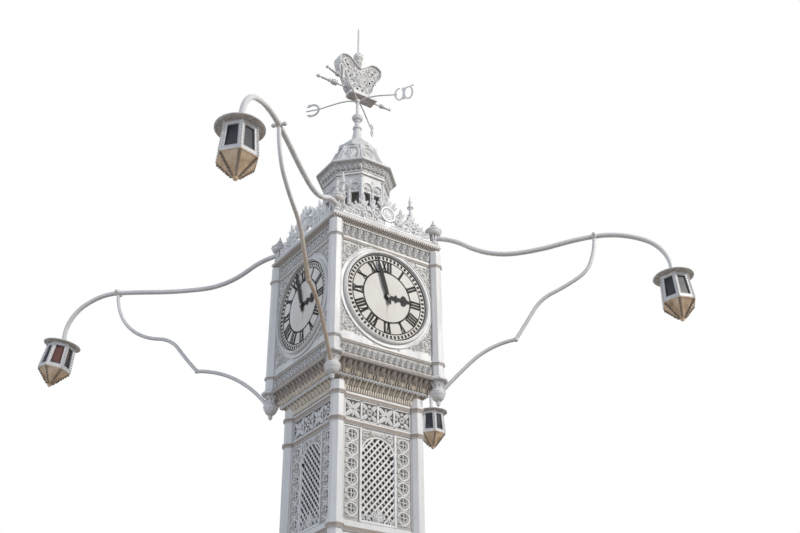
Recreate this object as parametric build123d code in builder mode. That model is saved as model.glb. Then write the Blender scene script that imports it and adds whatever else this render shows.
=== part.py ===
import os
from math import ceil

from build123d import *

os.makedirs("parts", exist_ok=True)

# Millimetres. Z is up from the ground, the front dial faces -Y, the left dial faces -X.

# Plan of the cast-iron frame: half spacing of the corner column axes
SHAFT_AXIS = 369
HEAD_AXIS = 500
COLUMN = 52
WALL = 12
COLLAR = 9

# Heights of the stages, each standing on the one below
STEP_RISE = 160
STONE_RISE = 160
PLINTH_RISE = 280
DIE_RISE = 450
PEDESTAL_CAP_RISE = 150
LOWER_STAGE = 2620
SILL_BAND = 80
LATTICE_STAGE = 750
SHAFT_BAND = 50
SHAFT_FRIEZE = 170
CORBEL_RISE = 215
LEDGE_RISE = 37
STEP_TOP = STEP_RISE
STONE_TOP = STEP_TOP + STONE_RISE
PLINTH_TOP = STONE_TOP + PLINTH_RISE
DIE_TOP = PLINTH_TOP + DIE_RISE
SHAFT_FOOT = DIE_TOP + PEDESTAL_CAP_RISE
LOWER_STAGE_TOP = SHAFT_FOOT + LOWER_STAGE
LATTICE_FOOT = LOWER_STAGE_TOP + SILL_BAND
LATTICE_TOP = LATTICE_FOOT + LATTICE_STAGE
FRIEZE_FOOT = LATTICE_TOP + SHAFT_BAND
FRIEZE_TOP = FRIEZE_FOOT + SHAFT_FRIEZE
CORBEL_FOOT = FRIEZE_TOP + SHAFT_BAND
CORBEL_TOP = CORBEL_FOOT + CORBEL_RISE
LEDGE_TOP = CORBEL_TOP + LEDGE_RISE

# Heights in the head
DIAL_PLINTH = 100
HEAD_BAND = 38
DIAL_MARGIN = 468
HEAD_FRIEZE = 120
CORNICE_RISE = 80
DIAL_FOOT = LEDGE_TOP + DIAL_PLINTH
DIAL_SILL = DIAL_FOOT + HEAD_BAND
DIAL_CENTRE = DIAL_SILL + DIAL_MARGIN
DIAL_HEAD = DIAL_CENTRE + DIAL_MARGIN - 46
FRIEZE_BED = DIAL_HEAD + HEAD_BAND + 2
CORNICE_FOOT = FRIEZE_BED + HEAD_FRIEZE
CORNICE_TOP = CORNICE_FOOT + CORNICE_RISE

# Heights of the roof, the lantern, the dome and the vane
ROOF_RISE = 200
DRUM_RISE = 470
EAVES_RISE = 153
DOME_RISE = 259
CAP_RISE = 38
MAST_RISE = 1550
DRUM_FOOT = CORNICE_TOP + ROOF_RISE
DRUM_TOP = DRUM_FOOT + DRUM_RISE
EAVES_TOP = DRUM_TOP + EAVES_RISE
CAP_FOOT = EAVES_TOP + DOME_RISE
CAP_TOP = CAP_FOOT + CAP_RISE
MAST_TOP = CAP_TOP + MAST_RISE
ARM_LEVEL = CAP_TOP + 610
CROWN_FOOT = ARM_LEVEL + 76

# Dials
DIAL_RING = 384
GLASS_RADIUS = 409
GLASS = 8
BEZEL_BORE = 396
BEZEL = 421
BEZEL_BASE = 446
GLASS_SEAT = 0.3
ARBOR = 8
ARBOR_FIT = 0.05
HAND = 4
HAND_GAP = 6

# Lamp arms: offsets from the axis of the head's corner column
PIPE = 21
BRACE_PIPE = 16
JUNCTION_TOP = 88

# Lamps
LAMP_CAP = 165
LAMP_WAIST = 118
LAMP_SKIRT = 138
LAMP_COLLAR = 44
LAMP_BODY = 240
LAMP_TIP = 160

# Vane
MAST = 10
MAST_FIT = 0.05
CROWN_DEPTH = 120
BOX_DEPTH = 124
BOX_RISE = 34
BAND = 8

OCTAGON = dict(side_count=8, major_radius=False, rotation=22.5)


def band_ring(centre_half, projection, foot, top, collar, inner):
    """A moulded band round the four walls, with an octagonal collar on each corner column."""
    column_half = centre_half
    with BuildPart() as ring:
        half = centre_half + projection
        with BuildSketch(Plane.XY.offset(foot)):
            Rectangle(2 * half, 2 * half)
            with GridLocations(2 * column_half, 2 * column_half, 2, 2):
                RegularPolygon(radius=collar, **OCTAGON)
            Rectangle(2 * inner, 2 * inner, mode=Mode.SUBTRACT)
        extrude(amount=top - foot)
        outer = ring.faces().filter_by(Axis.Z)
        chamfer([edge for edge in outer.sort_by(Axis.Z)[-1].outer_wire().edges()], length=5)
        chamfer([edge for edge in ring.faces().filter_by(Axis.Z).sort_by(Axis.Z)[0].outer_wire().edges()], length=4)
        with BuildSketch(Plane.XY.offset(foot - 1)):
            with GridLocations(2 * column_half, 2 * column_half, 2, 2):
                RegularPolygon(radius=COLUMN, **OCTAGON)
        extrude(amount=top - foot + 2, mode=Mode.SUBTRACT)
    return ring.part


def columns(half, foot, top, rounded):
    """Four octagonal corner columns."""
    with BuildPart() as posts:
        with BuildSketch(Plane.XY.offset(foot)):
            with GridLocations(2 * half, 2 * half, 2, 2):
                RegularPolygon(radius=COLUMN, **OCTAGON)
        extrude(amount=top - foot)
        if rounded:
            chamfer(posts.faces().filter_by(Axis.Z).group_by(Axis.Z)[-1].edges(), length=18)
    return posts.part


def wall_tube(half, foot, top, column_half):
    """Four cast plates between the corner columns."""
    with BuildPart() as plates:
        with BuildSketch(Plane.XY.offset(foot)):
            Rectangle(2 * half, 2 * half)
            Rectangle(2 * (half - WALL), 2 * (half - WALL), mode=Mode.SUBTRACT)
            with GridLocations(2 * column_half, 2 * column_half, 2, 2):
                RegularPolygon(radius=COLUMN, mode=Mode.SUBTRACT, **OCTAGON)
        extrude(amount=top - foot)
    return plates.part


# Stone step: two courses
DIE_HALF = SHAFT_AXIS + 126
PLINTH_HALF = DIE_HALF + 65
STONE_HALF = PLINTH_HALF + 90
STEP_HALF = STONE_HALF + 100
with BuildPart() as stone_step:
    with BuildSketch():
        Rectangle(2 * STEP_HALF, 2 * STEP_HALF)
    extrude(amount=STEP_TOP)
    with BuildSketch(Plane.XY.offset(STEP_TOP)):
        Rectangle(2 * STONE_HALF, 2 * STONE_HALF)
    extrude(amount=STONE_TOP - STEP_TOP)
    chamfer(stone_step.faces().filter_by(Axis.Z).edges().filter_by(lambda e: e.center().Z > 100), length=12)

# Cast-iron plinth: a deep base course that steps in by a sloped weathering
with BuildPart() as plinth:
    with BuildSketch(Plane.XY.offset(STONE_TOP)):
        Rectangle(2 * PLINTH_HALF, 2 * PLINTH_HALF)
    extrude(amount=0.6 * PLINTH_RISE)
    with BuildSketch(Plane.XY.offset(STONE_TOP + 0.6 * PLINTH_RISE)):
        Rectangle(2 * PLINTH_HALF, 2 * PLINTH_HALF)
    with BuildSketch(Plane.XY.offset(PLINTH_TOP - 30)):
        Rectangle(2 * DIE_HALF + 40, 2 * DIE_HALF + 40)
    loft()
    with BuildSketch(Plane.XY.offset(PLINTH_TOP - 30)):
        Rectangle(2 * DIE_HALF + 40, 2 * DIE_HALF + 40)
    extrude(amount=30)
    with BuildSketch(Plane.XY.offset(STONE_TOP)):
        Rectangle(2 * DIE_HALF - 60, 2 * DIE_HALF - 60)
    extrude(amount=PLINTH_TOP - STONE_TOP, mode=Mode.SUBTRACT)

# Pedestal die with one sunk panel a side
with BuildPart() as pedestal:
    with BuildSketch(Plane.XY.offset(PLINTH_TOP)):
        Rectangle(2 * DIE_HALF, 2 * DIE_HALF)
        Rectangle(2 * DIE_HALF - 60, 2 * DIE_HALF - 60, mode=Mode.SUBTRACT)
    extrude(amount=DIE_TOP - PLINTH_TOP)
    with PolarLocations(0, 4):
        with Locations((DIE_HALF - 5, 0, (PLINTH_TOP + DIE_TOP) / 2)):
            Box(12, 2 * DIE_HALF - 220, DIE_TOP - PLINTH_TOP - 130, mode=Mode.SUBTRACT)

# Pedestal cap: moulded shelf the shaft stands on
CAP_HALF = DIE_HALF + 60
with BuildPart() as pedestal_cap:
    with BuildSketch(Plane.XY.offset(DIE_TOP)):
        Rectangle(2 * DIE_HALF + 20, 2 * DIE_HALF + 20)
    with BuildSketch(Plane.XY.offset(DIE_TOP + 45)):
        Rectangle(2 * CAP_HALF, 2 * CAP_HALF)
    loft()
    with BuildSketch(Plane.XY.offset(DIE_TOP + 45)):
        Rectangle(2 * CAP_HALF, 2 * CAP_HALF)
    extrude(amount=35)
    with BuildSketch(Plane.XY.offset(DIE_TOP + 80)):
        Rectangle(2 * CAP_HALF, 2 * CAP_HALF)
    with BuildSketch(Plane.XY.offset(SHAFT_FOOT)):
        Rectangle(2 * SHAFT_AXIS + 140, 2 * SHAFT_AXIS + 140)
    loft()
    with BuildSketch(Plane.XY.offset(DIE_TOP)):
        Rectangle(2 * SHAFT_AXIS - 120, 2 * SHAFT_AXIS - 120)
    extrude(amount=SHAFT_FOOT - DIE_TOP, mode=Mode.SUBTRACT)

# Shaft columns run from the pedestal cap to the corbel
shaft_columns = columns(SHAFT_AXIS, SHAFT_FOOT, CORBEL_FOOT + 80, True)

# Lower stage of the shaft, with two raised panel mouldings a side
PANEL_WIDTH = 2 * SHAFT_AXIS - 2 * COLUMN - 90
PANEL_BAR = 26
PANEL_GAP = 70
PANEL_SPLIT = SHAFT_FOOT + 0.45 * LOWER_STAGE
LOWER_PANELS = (
    (SHAFT_FOOT + PANEL_GAP + 20, PANEL_SPLIT - PANEL_GAP / 2),
    (PANEL_SPLIT + PANEL_GAP / 2, LOWER_STAGE_TOP - PANEL_GAP - 20),
)
lower_stage_wall = wall_tube(SHAFT_AXIS, SHAFT_FOOT, LOWER_STAGE_TOP, SHAFT_AXIS)
with BuildPart() as lower_stage_panels:
    for panel_foot, panel_top in LOWER_PANELS:
        with PolarLocations(0, 4):
            with Locations((SHAFT_AXIS + 7, 0, (panel_foot + panel_top) / 2)):
                Box(14, PANEL_WIDTH, panel_top - panel_foot)
                Box(16, PANEL_WIDTH - 2 * PANEL_BAR, panel_top - panel_foot - 2 * PANEL_BAR, mode=Mode.SUBTRACT)

# Foot band of the lattice stage
sill_band = band_ring(SHAFT_AXIS, 16, LOWER_STAGE_TOP, LATTICE_FOOT, COLUMN + 12, SHAFT_AXIS - WALL)

# Lattice stage: one round-arched opening a side between fretted strips
ARCH_HALF = 152
ARCH_SILL = 170
ARCH_HEAD = 66
ARCH_FOOT = LATTICE_FOOT + ARCH_SILL
ARCH_SPRING = LATTICE_TOP - ARCH_HEAD - ARCH_HALF
with BuildPart() as lattice_stage_wall:
    add(wall_tube(SHAFT_AXIS, LATTICE_FOOT, LATTICE_TOP, SHAFT_AXIS))
    for turn in (0, 90):
        with BuildSketch(Plane.XZ.rotated((0, 0, turn)).offset(-SHAFT_AXIS - 100)):
            with Locations((0, (ARCH_FOOT + ARCH_SPRING) / 2)):
                Rectangle(2 * ARCH_HALF, ARCH_SPRING - ARCH_FOOT)
            with Locations((0, ARCH_SPRING)):
                Circle(ARCH_HALF)
        extrude(amount=2 * SHAFT_AXIS + 200, mode=Mode.SUBTRACT)

# Diagonal lattice in each arch
LATTICE_BAR = 9
LATTICE_THICK = 6
LATTICE_PITCH = 76
LATTICE_ACROSS = 2 * ceil(ARCH_HALF / LATTICE_PITCH) + 1
LATTICE_UP = 2 * ceil((ARCH_SPRING + 2 * ARCH_HALF - ARCH_FOOT) / 2 / LATTICE_PITCH) + 1
with BuildPart() as grille:
    with BuildSketch(Plane.XZ.offset(SHAFT_AXIS - LATTICE_THICK - 3)) as mesh:
        with Locations((0, (ARCH_FOOT + ARCH_SPRING) / 2)):
            Rectangle(2 * ARCH_HALF, ARCH_SPRING - ARCH_FOOT)
        with Locations((0, ARCH_SPRING)):
            Circle(ARCH_HALF)
        with Locations((0, (ARCH_FOOT + ARCH_SPRING) / 2)):
            with GridLocations(LATTICE_PITCH, LATTICE_PITCH, LATTICE_ACROSS, LATTICE_UP):
                Rectangle(
                    LATTICE_PITCH / 2 ** 0.5 - LATTICE_BAR,
                    LATTICE_PITCH / 2 ** 0.5 - LATTICE_BAR,
                    rotation=45,
                    mode=Mode.SUBTRACT,
                )
            with GridLocations(LATTICE_PITCH, LATTICE_PITCH, LATTICE_ACROSS + 1, LATTICE_UP + 1):
                Rectangle(
                    LATTICE_PITCH / 2 ** 0.5 - LATTICE_BAR,
                    LATTICE_PITCH / 2 ** 0.5 - LATTICE_BAR,
                    rotation=45,
                    mode=Mode.SUBTRACT,
                )
        for edge_x, edge_y, edge_w, edge_h in (
            (-ARCH_HALF + 4, (ARCH_FOOT + ARCH_SPRING) / 2, 8, ARCH_SPRING - ARCH_FOOT),
            (ARCH_HALF - 4, (ARCH_FOOT + ARCH_SPRING) / 2, 8, ARCH_SPRING - ARCH_FOOT),
            (0, ARCH_FOOT + 4, 2 * ARCH_HALF, 8),
        ):
            with Locations((edge_x, edge_y)):
                Rectangle(edge_w, edge_h)
    extrude(amount=LATTICE_THICK)

# Bands above and below the shaft frieze, and the frieze plates
lower_shaft_band = band_ring(SHAFT_AXIS, 14, LATTICE_TOP, FRIEZE_FOOT, COLUMN + COLLAR, SHAFT_AXIS - WALL)
shaft_frieze = wall_tube(SHAFT_AXIS, FRIEZE_FOOT, FRIEZE_TOP, SHAFT_AXIS)
upper_shaft_band = band_ring(SHAFT_AXIS, 14, FRIEZE_TOP, CORBEL_FOOT, COLUMN + COLLAR, SHAFT_AXIS - WALL)

# Pendants: turned drops under the corners of the head
with BuildPart() as pendant:
    with BuildSketch(Plane.XZ):
        with BuildLine():
            Line((0, 0), (50, 0))
            Line((50, 0), (46, -24))
            Line((46, -24), (32, -44))
            Line((32, -44), (36, -62))
            ThreePointArc((36, -62), (62, -88), (56, -124))
            ThreePointArc((56, -124), (36, -158), (14, -172))
            Line((14, -172), (18, -186))
            Line((18, -186), (14, -202))
            Line((14, -202), (4, -212))
            Line((4, -212), (0, -212))
            Line((0, -212), (0, 0))
        make_face()
    revolve(axis=Axis.Z)

# Corbel: two coved tiers that carry the wider head, with a roll between them
with BuildPart() as corbel:
    with BuildSketch(Plane.XZ) as corbel_section:
        with BuildLine():
            Line((SHAFT_AXIS - WALL, CORBEL_FOOT), (SHAFT_AXIS + 12, CORBEL_FOOT))
            ThreePointArc(
                (SHAFT_AXIS + 12, CORBEL_FOOT),
                (SHAFT_AXIS + 24, CORBEL_FOOT + 62),
                (SHAFT_AXIS + 68, CORBEL_FOOT + 95),
            )
            Line((SHAFT_AXIS + 68, CORBEL_FOOT + 95), (SHAFT_AXIS + 68, CORBEL_FOOT + 112))
            ThreePointArc(
                (SHAFT_AXIS + 68, CORBEL_FOOT + 112),
                (SHAFT_AXIS + 84, CORBEL_FOOT + 172),
                (HEAD_AXIS + 12, CORBEL_TOP),
            )
            Line((HEAD_AXIS + 12, CORBEL_TOP), (HEAD_AXIS - 40, CORBEL_TOP))
            Line((HEAD_AXIS - 40, CORBEL_TOP), (SHAFT_AXIS - WALL, CORBEL_FOOT))
        make_face()
    with BuildLine() as corbel_path:
        Polyline(
            (SHAFT_AXIS, 0, 0),
            (SHAFT_AXIS, SHAFT_AXIS, 0),
            (-SHAFT_AXIS, SHAFT_AXIS, 0),
            (-SHAFT_AXIS, -SHAFT_AXIS, 0),
            (SHAFT_AXIS, -SHAFT_AXIS, 0),
            close=True,
        )
    sweep(path=corbel_path.wires()[0], transition=Transition.RIGHT)
    with BuildSketch(Plane.XY.offset(CORBEL_FOOT - 1)):
        with GridLocations(2 * SHAFT_AXIS, 2 * SHAFT_AXIS, 2, 2):
            RegularPolygon(radius=COLUMN, **OCTAGON)
    extrude(amount=82, mode=Mode.SUBTRACT)
    with GridLocations(2 * HEAD_AXIS, 2 * HEAD_AXIS, 2, 2):
        with Locations((0, 0, CORBEL_TOP)):
            add(pendant.part, mode=Mode.SUBTRACT)

# Lower cornice: ledge under the head with an octagonal block under each corner column
with BuildPart() as lower_cornice:
    with BuildSketch(Plane.XY.offset(CORBEL_TOP)):
        Rectangle(2 * HEAD_AXIS + 76, 2 * HEAD_AXIS + 76)
        with GridLocations(2 * HEAD_AXIS, 2 * HEAD_AXIS, 2, 2):
            RegularPolygon(radius=COLUMN + 28, **OCTAGON)
        Rectangle(2 * HEAD_AXIS - 80, 2 * HEAD_AXIS - 80, mode=Mode.SUBTRACT)
    extrude(amount=LEDGE_TOP - CORBEL_TOP)
    chamfer(lower_cornice.faces().sort_by(Axis.Z)[-1].outer_wire().edges(), length=14, length2=20)
    chamfer(lower_cornice.faces().sort_by(Axis.Z)[0].outer_wire().edges(), length=8)

# Head: corner columns and the plates between them, each with a round dial opening
head_columns = columns(HEAD_AXIS, LEDGE_TOP, CORNICE_FOOT, False)
with BuildPart() as head_wall:
    add(wall_tube(HEAD_AXIS, LEDGE_TOP, CORNICE_FOOT, HEAD_AXIS))
    for turn in (0, 90):
        with BuildSketch(Plane.XZ.rotated((0, 0, turn)).offset(-HEAD_AXIS - 100)):
            with Locations((0, DIAL_CENTRE)):
                Circle(GLASS_RADIUS - 22)
        extrude(amount=2 * HEAD_AXIS + 200, mode=Mode.SUBTRACT)

# Bands round the head: under the dials and over them
dial_sill_band = band_ring(HEAD_AXIS, 13, DIAL_FOOT, DIAL_SILL, COLUMN + COLLAR, HEAD_AXIS)
dial_head_band = band_ring(HEAD_AXIS, 13, DIAL_HEAD, FRIEZE_BED, COLUMN + COLLAR, HEAD_AXIS)

# Upper cornice: ribbed soffit under a thin edge
CORNICE_BACK = HEAD_AXIS - 120
with BuildPart() as upper_cornice:
    with BuildSketch(Plane.XZ):
        with BuildLine():
            Polyline(
                (CORNICE_BACK, CORNICE_FOOT),
                (HEAD_AXIS + 4, CORNICE_FOOT),
                (HEAD_AXIS + 10, CORNICE_FOOT + 14),
                (HEAD_AXIS + 44, CORNICE_FOOT + 40),
                (HEAD_AXIS + 48, CORNICE_FOOT + 44),
                (HEAD_AXIS + 48, CORNICE_FOOT + 62),
                (HEAD_AXIS + 36, CORNICE_TOP),
                (CORNICE_BACK, CORNICE_TOP),
                close=True,
            )
        make_face()
    with BuildLine() as cornice_path:
        Polyline(
            (HEAD_AXIS, 0, 0),
            (HEAD_AXIS, HEAD_AXIS, 0),
            (-HEAD_AXIS, HEAD_AXIS, 0),
            (-HEAD_AXIS, -HEAD_AXIS, 0),
            (HEAD_AXIS, -HEAD_AXIS, 0),
            close=True,
        )
    sweep(path=cornice_path.wires()[0], transition=Transition.RIGHT)

# Dial: bezel seated on the plate, opal glass held in its rebate
with BuildPart() as bezel:
    with BuildSketch(Plane.XZ.offset(HEAD_AXIS)):
        with Locations((0, DIAL_CENTRE)):
            Circle(BEZEL)
            Circle(GLASS_RADIUS + GLASS_SEAT, mode=Mode.SUBTRACT)
    extrude(amount=GLASS + GLASS_SEAT)
    with BuildSketch(Plane.XZ.offset(HEAD_AXIS + GLASS + GLASS_SEAT)):
        with Locations((0, DIAL_CENTRE)):
            Circle(BEZEL)
            Circle(BEZEL_BORE, mode=Mode.SUBTRACT)
    extrude(amount=22)
    chamfer(bezel.faces().sort_by(Axis.Y)[0].outer_wire().edges(), length=9)
    with BuildSketch(Plane.XZ.offset(HEAD_AXIS)):
        with Locations((0, DIAL_CENTRE)):
            Circle(BEZEL_BASE)
            Circle(BEZEL - 5, mode=Mode.SUBTRACT)
        with Locations((0, DIAL_HEAD + 100)):
            Rectangle(1000, 200, mode=Mode.SUBTRACT)
        with Locations((0, DIAL_SILL - 100)):
            Rectangle(1000, 200, mode=Mode.SUBTRACT)
    extrude(amount=7)
with BuildPart() as dial_bezels:
    with PolarLocations(0, 4):
        add(bezel.part)
with BuildPart() as glass:
    with BuildSketch(Plane.XZ.offset(HEAD_AXIS)):
        with Locations((0, DIAL_CENTRE)):
            Circle(GLASS_RADIUS)
            Circle(ARBOR + 1, mode=Mode.SUBTRACT)
    extrude(amount=GLASS)
with BuildPart() as dial_glasses:
    with PolarLocations(0, 4):
        add(glass.part)

# Hand arbors: a bar behind each dial carries the fixed pin the hands turn on
HOUR_FACE = HEAD_AXIS + GLASS + HAND_GAP
MINUTE_FACE = HOUR_FACE + HAND + HAND_GAP
PIN_END = MINUTE_FACE + HAND + 2
with BuildPart() as arbor:
    with BuildSketch(Plane.XZ.offset(HEAD_AXIS - WALL - 10)):
        with Locations((0, DIAL_CENTRE)):
            Rectangle(60, 2 * GLASS_RADIUS + 10)
    extrude(amount=10)
    with BuildSketch(Plane.XZ.offset(HEAD_AXIS - WALL)):
        with Locations((0, DIAL_CENTRE)):
            Circle(ARBOR)
    extrude(amount=PIN_END - HEAD_AXIS + WALL)
    with BuildSketch(Plane.XZ.offset(PIN_END)):
        with Locations((0, DIAL_CENTRE)):
            Circle(ARBOR + 6)
    extrude(amount=4)
with BuildPart() as dial_arbors:
    with PolarLocations(0, 4):
        add(arbor.part)

# Hands: the minute hand is a long tapering blade, the hour hand carries a trefoil
MINUTE_REACH = 372
HOUR_REACH = 238
MINUTE_TURN = -17.1
HOUR_TURN = 88.6
with BuildPart() as minute_hand:
    with BuildSketch(Plane.XZ.offset(MINUTE_FACE)):
        Circle(24)
        with BuildLine():
            Polyline((-13, 0), (-19, 95), (-17, 250), (-3, MINUTE_REACH), (3, MINUTE_REACH), (17, 250), (19, 95), (13, 0), close=True)
        make_face()
        with BuildLine():
            Polyline((-10, 0), (-16, -52), (0, -78), (16, -52), (10, 0), close=True)
        make_face()
        Circle(ARBOR + ARBOR_FIT, mode=Mode.SUBTRACT)
    extrude(amount=HAND)
with BuildPart() as hour_hand:
    with BuildSketch(Plane.XZ.offset(HOUR_FACE)):
        Circle(30)
        with BuildLine():
            Polyline((-14, 0), (-17, 60), (-13, 148), (13, 148), (17, 60), (14, 0), close=True)
        make_face()
        with Locations((-22, 160), (22, 160), (0, 178)):
            Circle(24)
        with BuildLine():
            Polyline((-18, 180), (-4, HOUR_REACH), (4, HOUR_REACH), (18, 180), close=True)
        make_face()
        with Locations((-24, 84), (24, 84)):
            Circle(10)
        Circle(ARBOR + ARBOR_FIT, mode=Mode.SUBTRACT)
    extrude(amount=HAND)
SIDES = ("front", "right", "back", "left")
hands = {}
for side, name in enumerate(SIDES):
    place = Location((0, 0, 0), (0, 0, 90 * side))
    lift = Location((0, 0, DIAL_CENTRE))
    hands["minute_hand_" + name] = place * lift * Location((0, 0, 0), (0, MINUTE_TURN, 0)) * minute_hand.part
    hands["hour_hand_" + name] = place * lift * Location((0, 0, 0), (0, HOUR_TURN, 0)) * hour_hand.part

# Roof behind the cresting, up to the foot of the lantern
ROOF_HALF = CORNICE_BACK + 22
CURB_HALF = 320
with BuildPart() as roof_block:
    with BuildSketch(Plane.XY.offset(CORNICE_TOP)):
        Rectangle(2 * ROOF_HALF, 2 * ROOF_HALF)
    with BuildSketch(Plane.XY.offset(DRUM_FOOT)):
        Rectangle(2 * CURB_HALF, 2 * CURB_HALF)
    loft()
with BuildPart() as roof:
    add(roof_block.part)
    with BuildSketch(Plane.XY.offset(CORNICE_TOP)):
        Rectangle(2 * ROOF_HALF - 64, 2 * ROOF_HALF - 64)
    with BuildSketch(Plane.XY.offset(DRUM_FOOT - 24)):
        Rectangle(2 * CURB_HALF - 60, 2 * CURB_HALF - 60)
    loft(mode=Mode.SUBTRACT)

# Cresting: an open parapet of scrolls on each side of the cornice, a spiked medallion at its middle
CREST_HALF = HEAD_AXIS - 44
CREST_THICK = 12
CREST_FACE = HEAD_AXIS + 24
MEDALLION = 74
SCROLLS = ((118, 112, 46), (196, 62, 54), (262, 118, 34), (318, 50, 42), (388, 40, 34))
with BuildPart() as crest:
    with BuildSketch(Plane.XZ.offset(CREST_FACE - CREST_THICK)):
        with Locations((0, CORNICE_TOP + 8)):
            Rectangle(2 * CREST_HALF - 20, 16)
        with Locations((0, CORNICE_TOP + 140)):
            Circle(MEDALLION)
            Circle(MEDALLION - 15, mode=Mode.SUBTRACT)
            Circle(MEDALLION - 30)
        with Locations((0, CORNICE_TOP + 140)):
            Rectangle(2 * MEDALLION - 20, 10)
        with Locations((0, CORNICE_TOP + 40)):
            Rectangle(60, 70)
        with BuildLine():
            Polyline(
                (-20, CORNICE_TOP + 206),
                (-7, CORNICE_TOP + 248),
                (-15, CORNICE_TOP + 266),
                (0, CORNICE_TOP + 326),
                (15, CORNICE_TOP + 266),
                (7, CORNICE_TOP + 248),
                (20, CORNICE_TOP + 206),
                close=True,
            )
        make_face()
        for flank in (-1, 1):
            for along, above, radius in SCROLLS:
                with Locations((flank * along, CORNICE_TOP + above)):
                    Circle(radius)
                    Circle(radius - 12, mode=Mode.SUBTRACT)
                    Circle(0.42 * radius)
                    Rectangle(radius * 2 - 12, 9, rotation=flank * 35)
            with Locations((flank * 244, CORNICE_TOP + 196)):
                RegularPolygon(radius=26, side_count=3, rotation=90)
                Rectangle(12, 110)
            with Locations((flank * 425, CORNICE_TOP + 26)):
                Rectangle(34, 40)
    extrude(amount=CREST_THICK)
with BuildPart() as cresting:
    with PolarLocations(0, 4):
        add(crest.part)

# Pinnacles: a slim turned spire at each corner of the roof
PINNACLE = 355
with BuildPart() as pinnacle:
    with BuildSketch(Plane.XZ):
        with BuildLine():
            Polyline(
                (0, 0),
                (30, 0),
                (30, 34),
                (20, 48),
                (20, 176),
                (30, 188),
                (30, 206),
                (17, 218),
                (13, 300),
                (24, 318),
                (24, 334),
                (12, 350),
                (17, 372),
                (3, 450),
                (0, 450),
                close=True,
            )
        make_face()
    revolve(axis=Axis.Z)
PINNACLE_FOOT = CORNICE_TOP + 0.5 * ROOF_RISE
with BuildPart() as pinnacles:
    with GridLocations(2 * PINNACLE, 2 * PINNACLE, 2, 2):
        with Locations((0, 0, PINNACLE_FOOT)):
            add(pinnacle.part)
    add(roof_block.part, mode=Mode.SUBTRACT)

# Corner finials: turned urns that carry the lamp pipes
with BuildPart() as finial:
    with BuildSketch(Plane.XZ):
        with BuildLine():
            Line((0, 0), (35, 0))
            Line((35, 0), (35, 30))
            Line((35, 30), (28, 42))
            Line((28, 42), (28, 92))
            ThreePointArc((28, 92), (62, 112), (70, 142))
            Line((70, 142), (66, 154))
            ThreePointArc((66, 154), (40, 184), (20, 196))
            Line((20, 196), (24, 206))
            Line((24, 206), (12, 234))
            Line((12, 234), (3, 266))
            Line((3, 266), (0, 266))
            Line((0, 266), (0, 0))
        make_face()
    revolve(axis=Axis.Z)
with BuildPart() as corner_finials:
    with GridLocations(2 * HEAD_AXIS, 2 * HEAD_AXIS, 2, 2):
        with Locations((0, 0, CORNICE_TOP)):
            add(finial.part)

with BuildPart() as corner_pendants:
    with GridLocations(2 * HEAD_AXIS, 2 * HEAD_AXIS, 2, 2):
        with Locations((0, 0, CORBEL_TOP)):
            add(pendant.part)

# Lantern drum: eight facets with two round-arched openings each
DRUM = 272
DRUM_WALL = 14
DRUM_ARCH = 36
DRUM_ARCH_X = 54
DRUM_ARCH_FOOT = DRUM_FOOT + 150
DRUM_ARCH_SPRING = DRUM_TOP - 128
CUSP_LEVEL = DRUM_ARCH_SPRING - 56
with BuildPart() as lantern_drum:
    with BuildSketch(Plane.XY.offset(DRUM_FOOT)):
        RegularPolygon(radius=DRUM + 20, **OCTAGON)
    extrude(amount=60)
    with BuildSketch(Plane.XY.offset(DRUM_FOOT + 60)):
        RegularPolygon(radius=DRUM, **OCTAGON)
    extrude(amount=DRUM_TOP - DRUM_FOOT - 60)
    with BuildSketch(Plane.XY.offset(DRUM_FOOT)):
        RegularPolygon(radius=DRUM - DRUM_WALL, **OCTAGON)
    extrude(amount=DRUM_TOP - DRUM_FOOT, mode=Mode.SUBTRACT)
    for turn in (0, 45, 90, 135):
        with BuildSketch(Plane.XZ.rotated((0, 0, turn)).offset(-DRUM - 100)):
            for flank in (-1, 1):
                with Locations((flank * DRUM_ARCH_X, (DRUM_ARCH_FOOT + CUSP_LEVEL) / 2)):
                    Rectangle(2 * DRUM_ARCH, CUSP_LEVEL - DRUM_ARCH_FOOT)
                with Locations((flank * DRUM_ARCH_X, CUSP_LEVEL)):
                    with GridLocations(DRUM_ARCH / 2, 1, 4, 1):
                        Circle(DRUM_ARCH / 4)
        extrude(amount=2 * DRUM + 200, mode=Mode.SUBTRACT)
    for turn in range(0, 360, 45):
        with BuildSketch(Plane.XZ.rotated((0, 0, turn)).offset(DRUM)):
            for flank in (-1, 1):
                with Locations((flank * DRUM_ARCH_X, DRUM_ARCH_SPRING)):
                    Circle(DRUM_ARCH + 13)
                    Circle(DRUM_ARCH + 5, mode=Mode.SUBTRACT)
                with Locations((flank * DRUM_ARCH_X, DRUM_ARCH_SPRING - 100)):
                    Rectangle(2 * DRUM_ARCH + 40, 200, mode=Mode.SUBTRACT)
        extrude(amount=7)
        with Locations(Plane.XZ.rotated((0, 0, turn)).offset(DRUM)):
            for across in (-2 * DRUM_ARCH_X + 9, 0, 2 * DRUM_ARCH_X - 9):
                with Locations((across, (DRUM_ARCH_FOOT + DRUM_ARCH_SPRING) / 2, 0)):
                    Box(12, DRUM_ARCH_SPRING - DRUM_ARCH_FOOT + 6, 12)
                with Locations((across, DRUM_ARCH_SPRING + 3, 0)):
                    Box(20, 12, 18)

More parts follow.
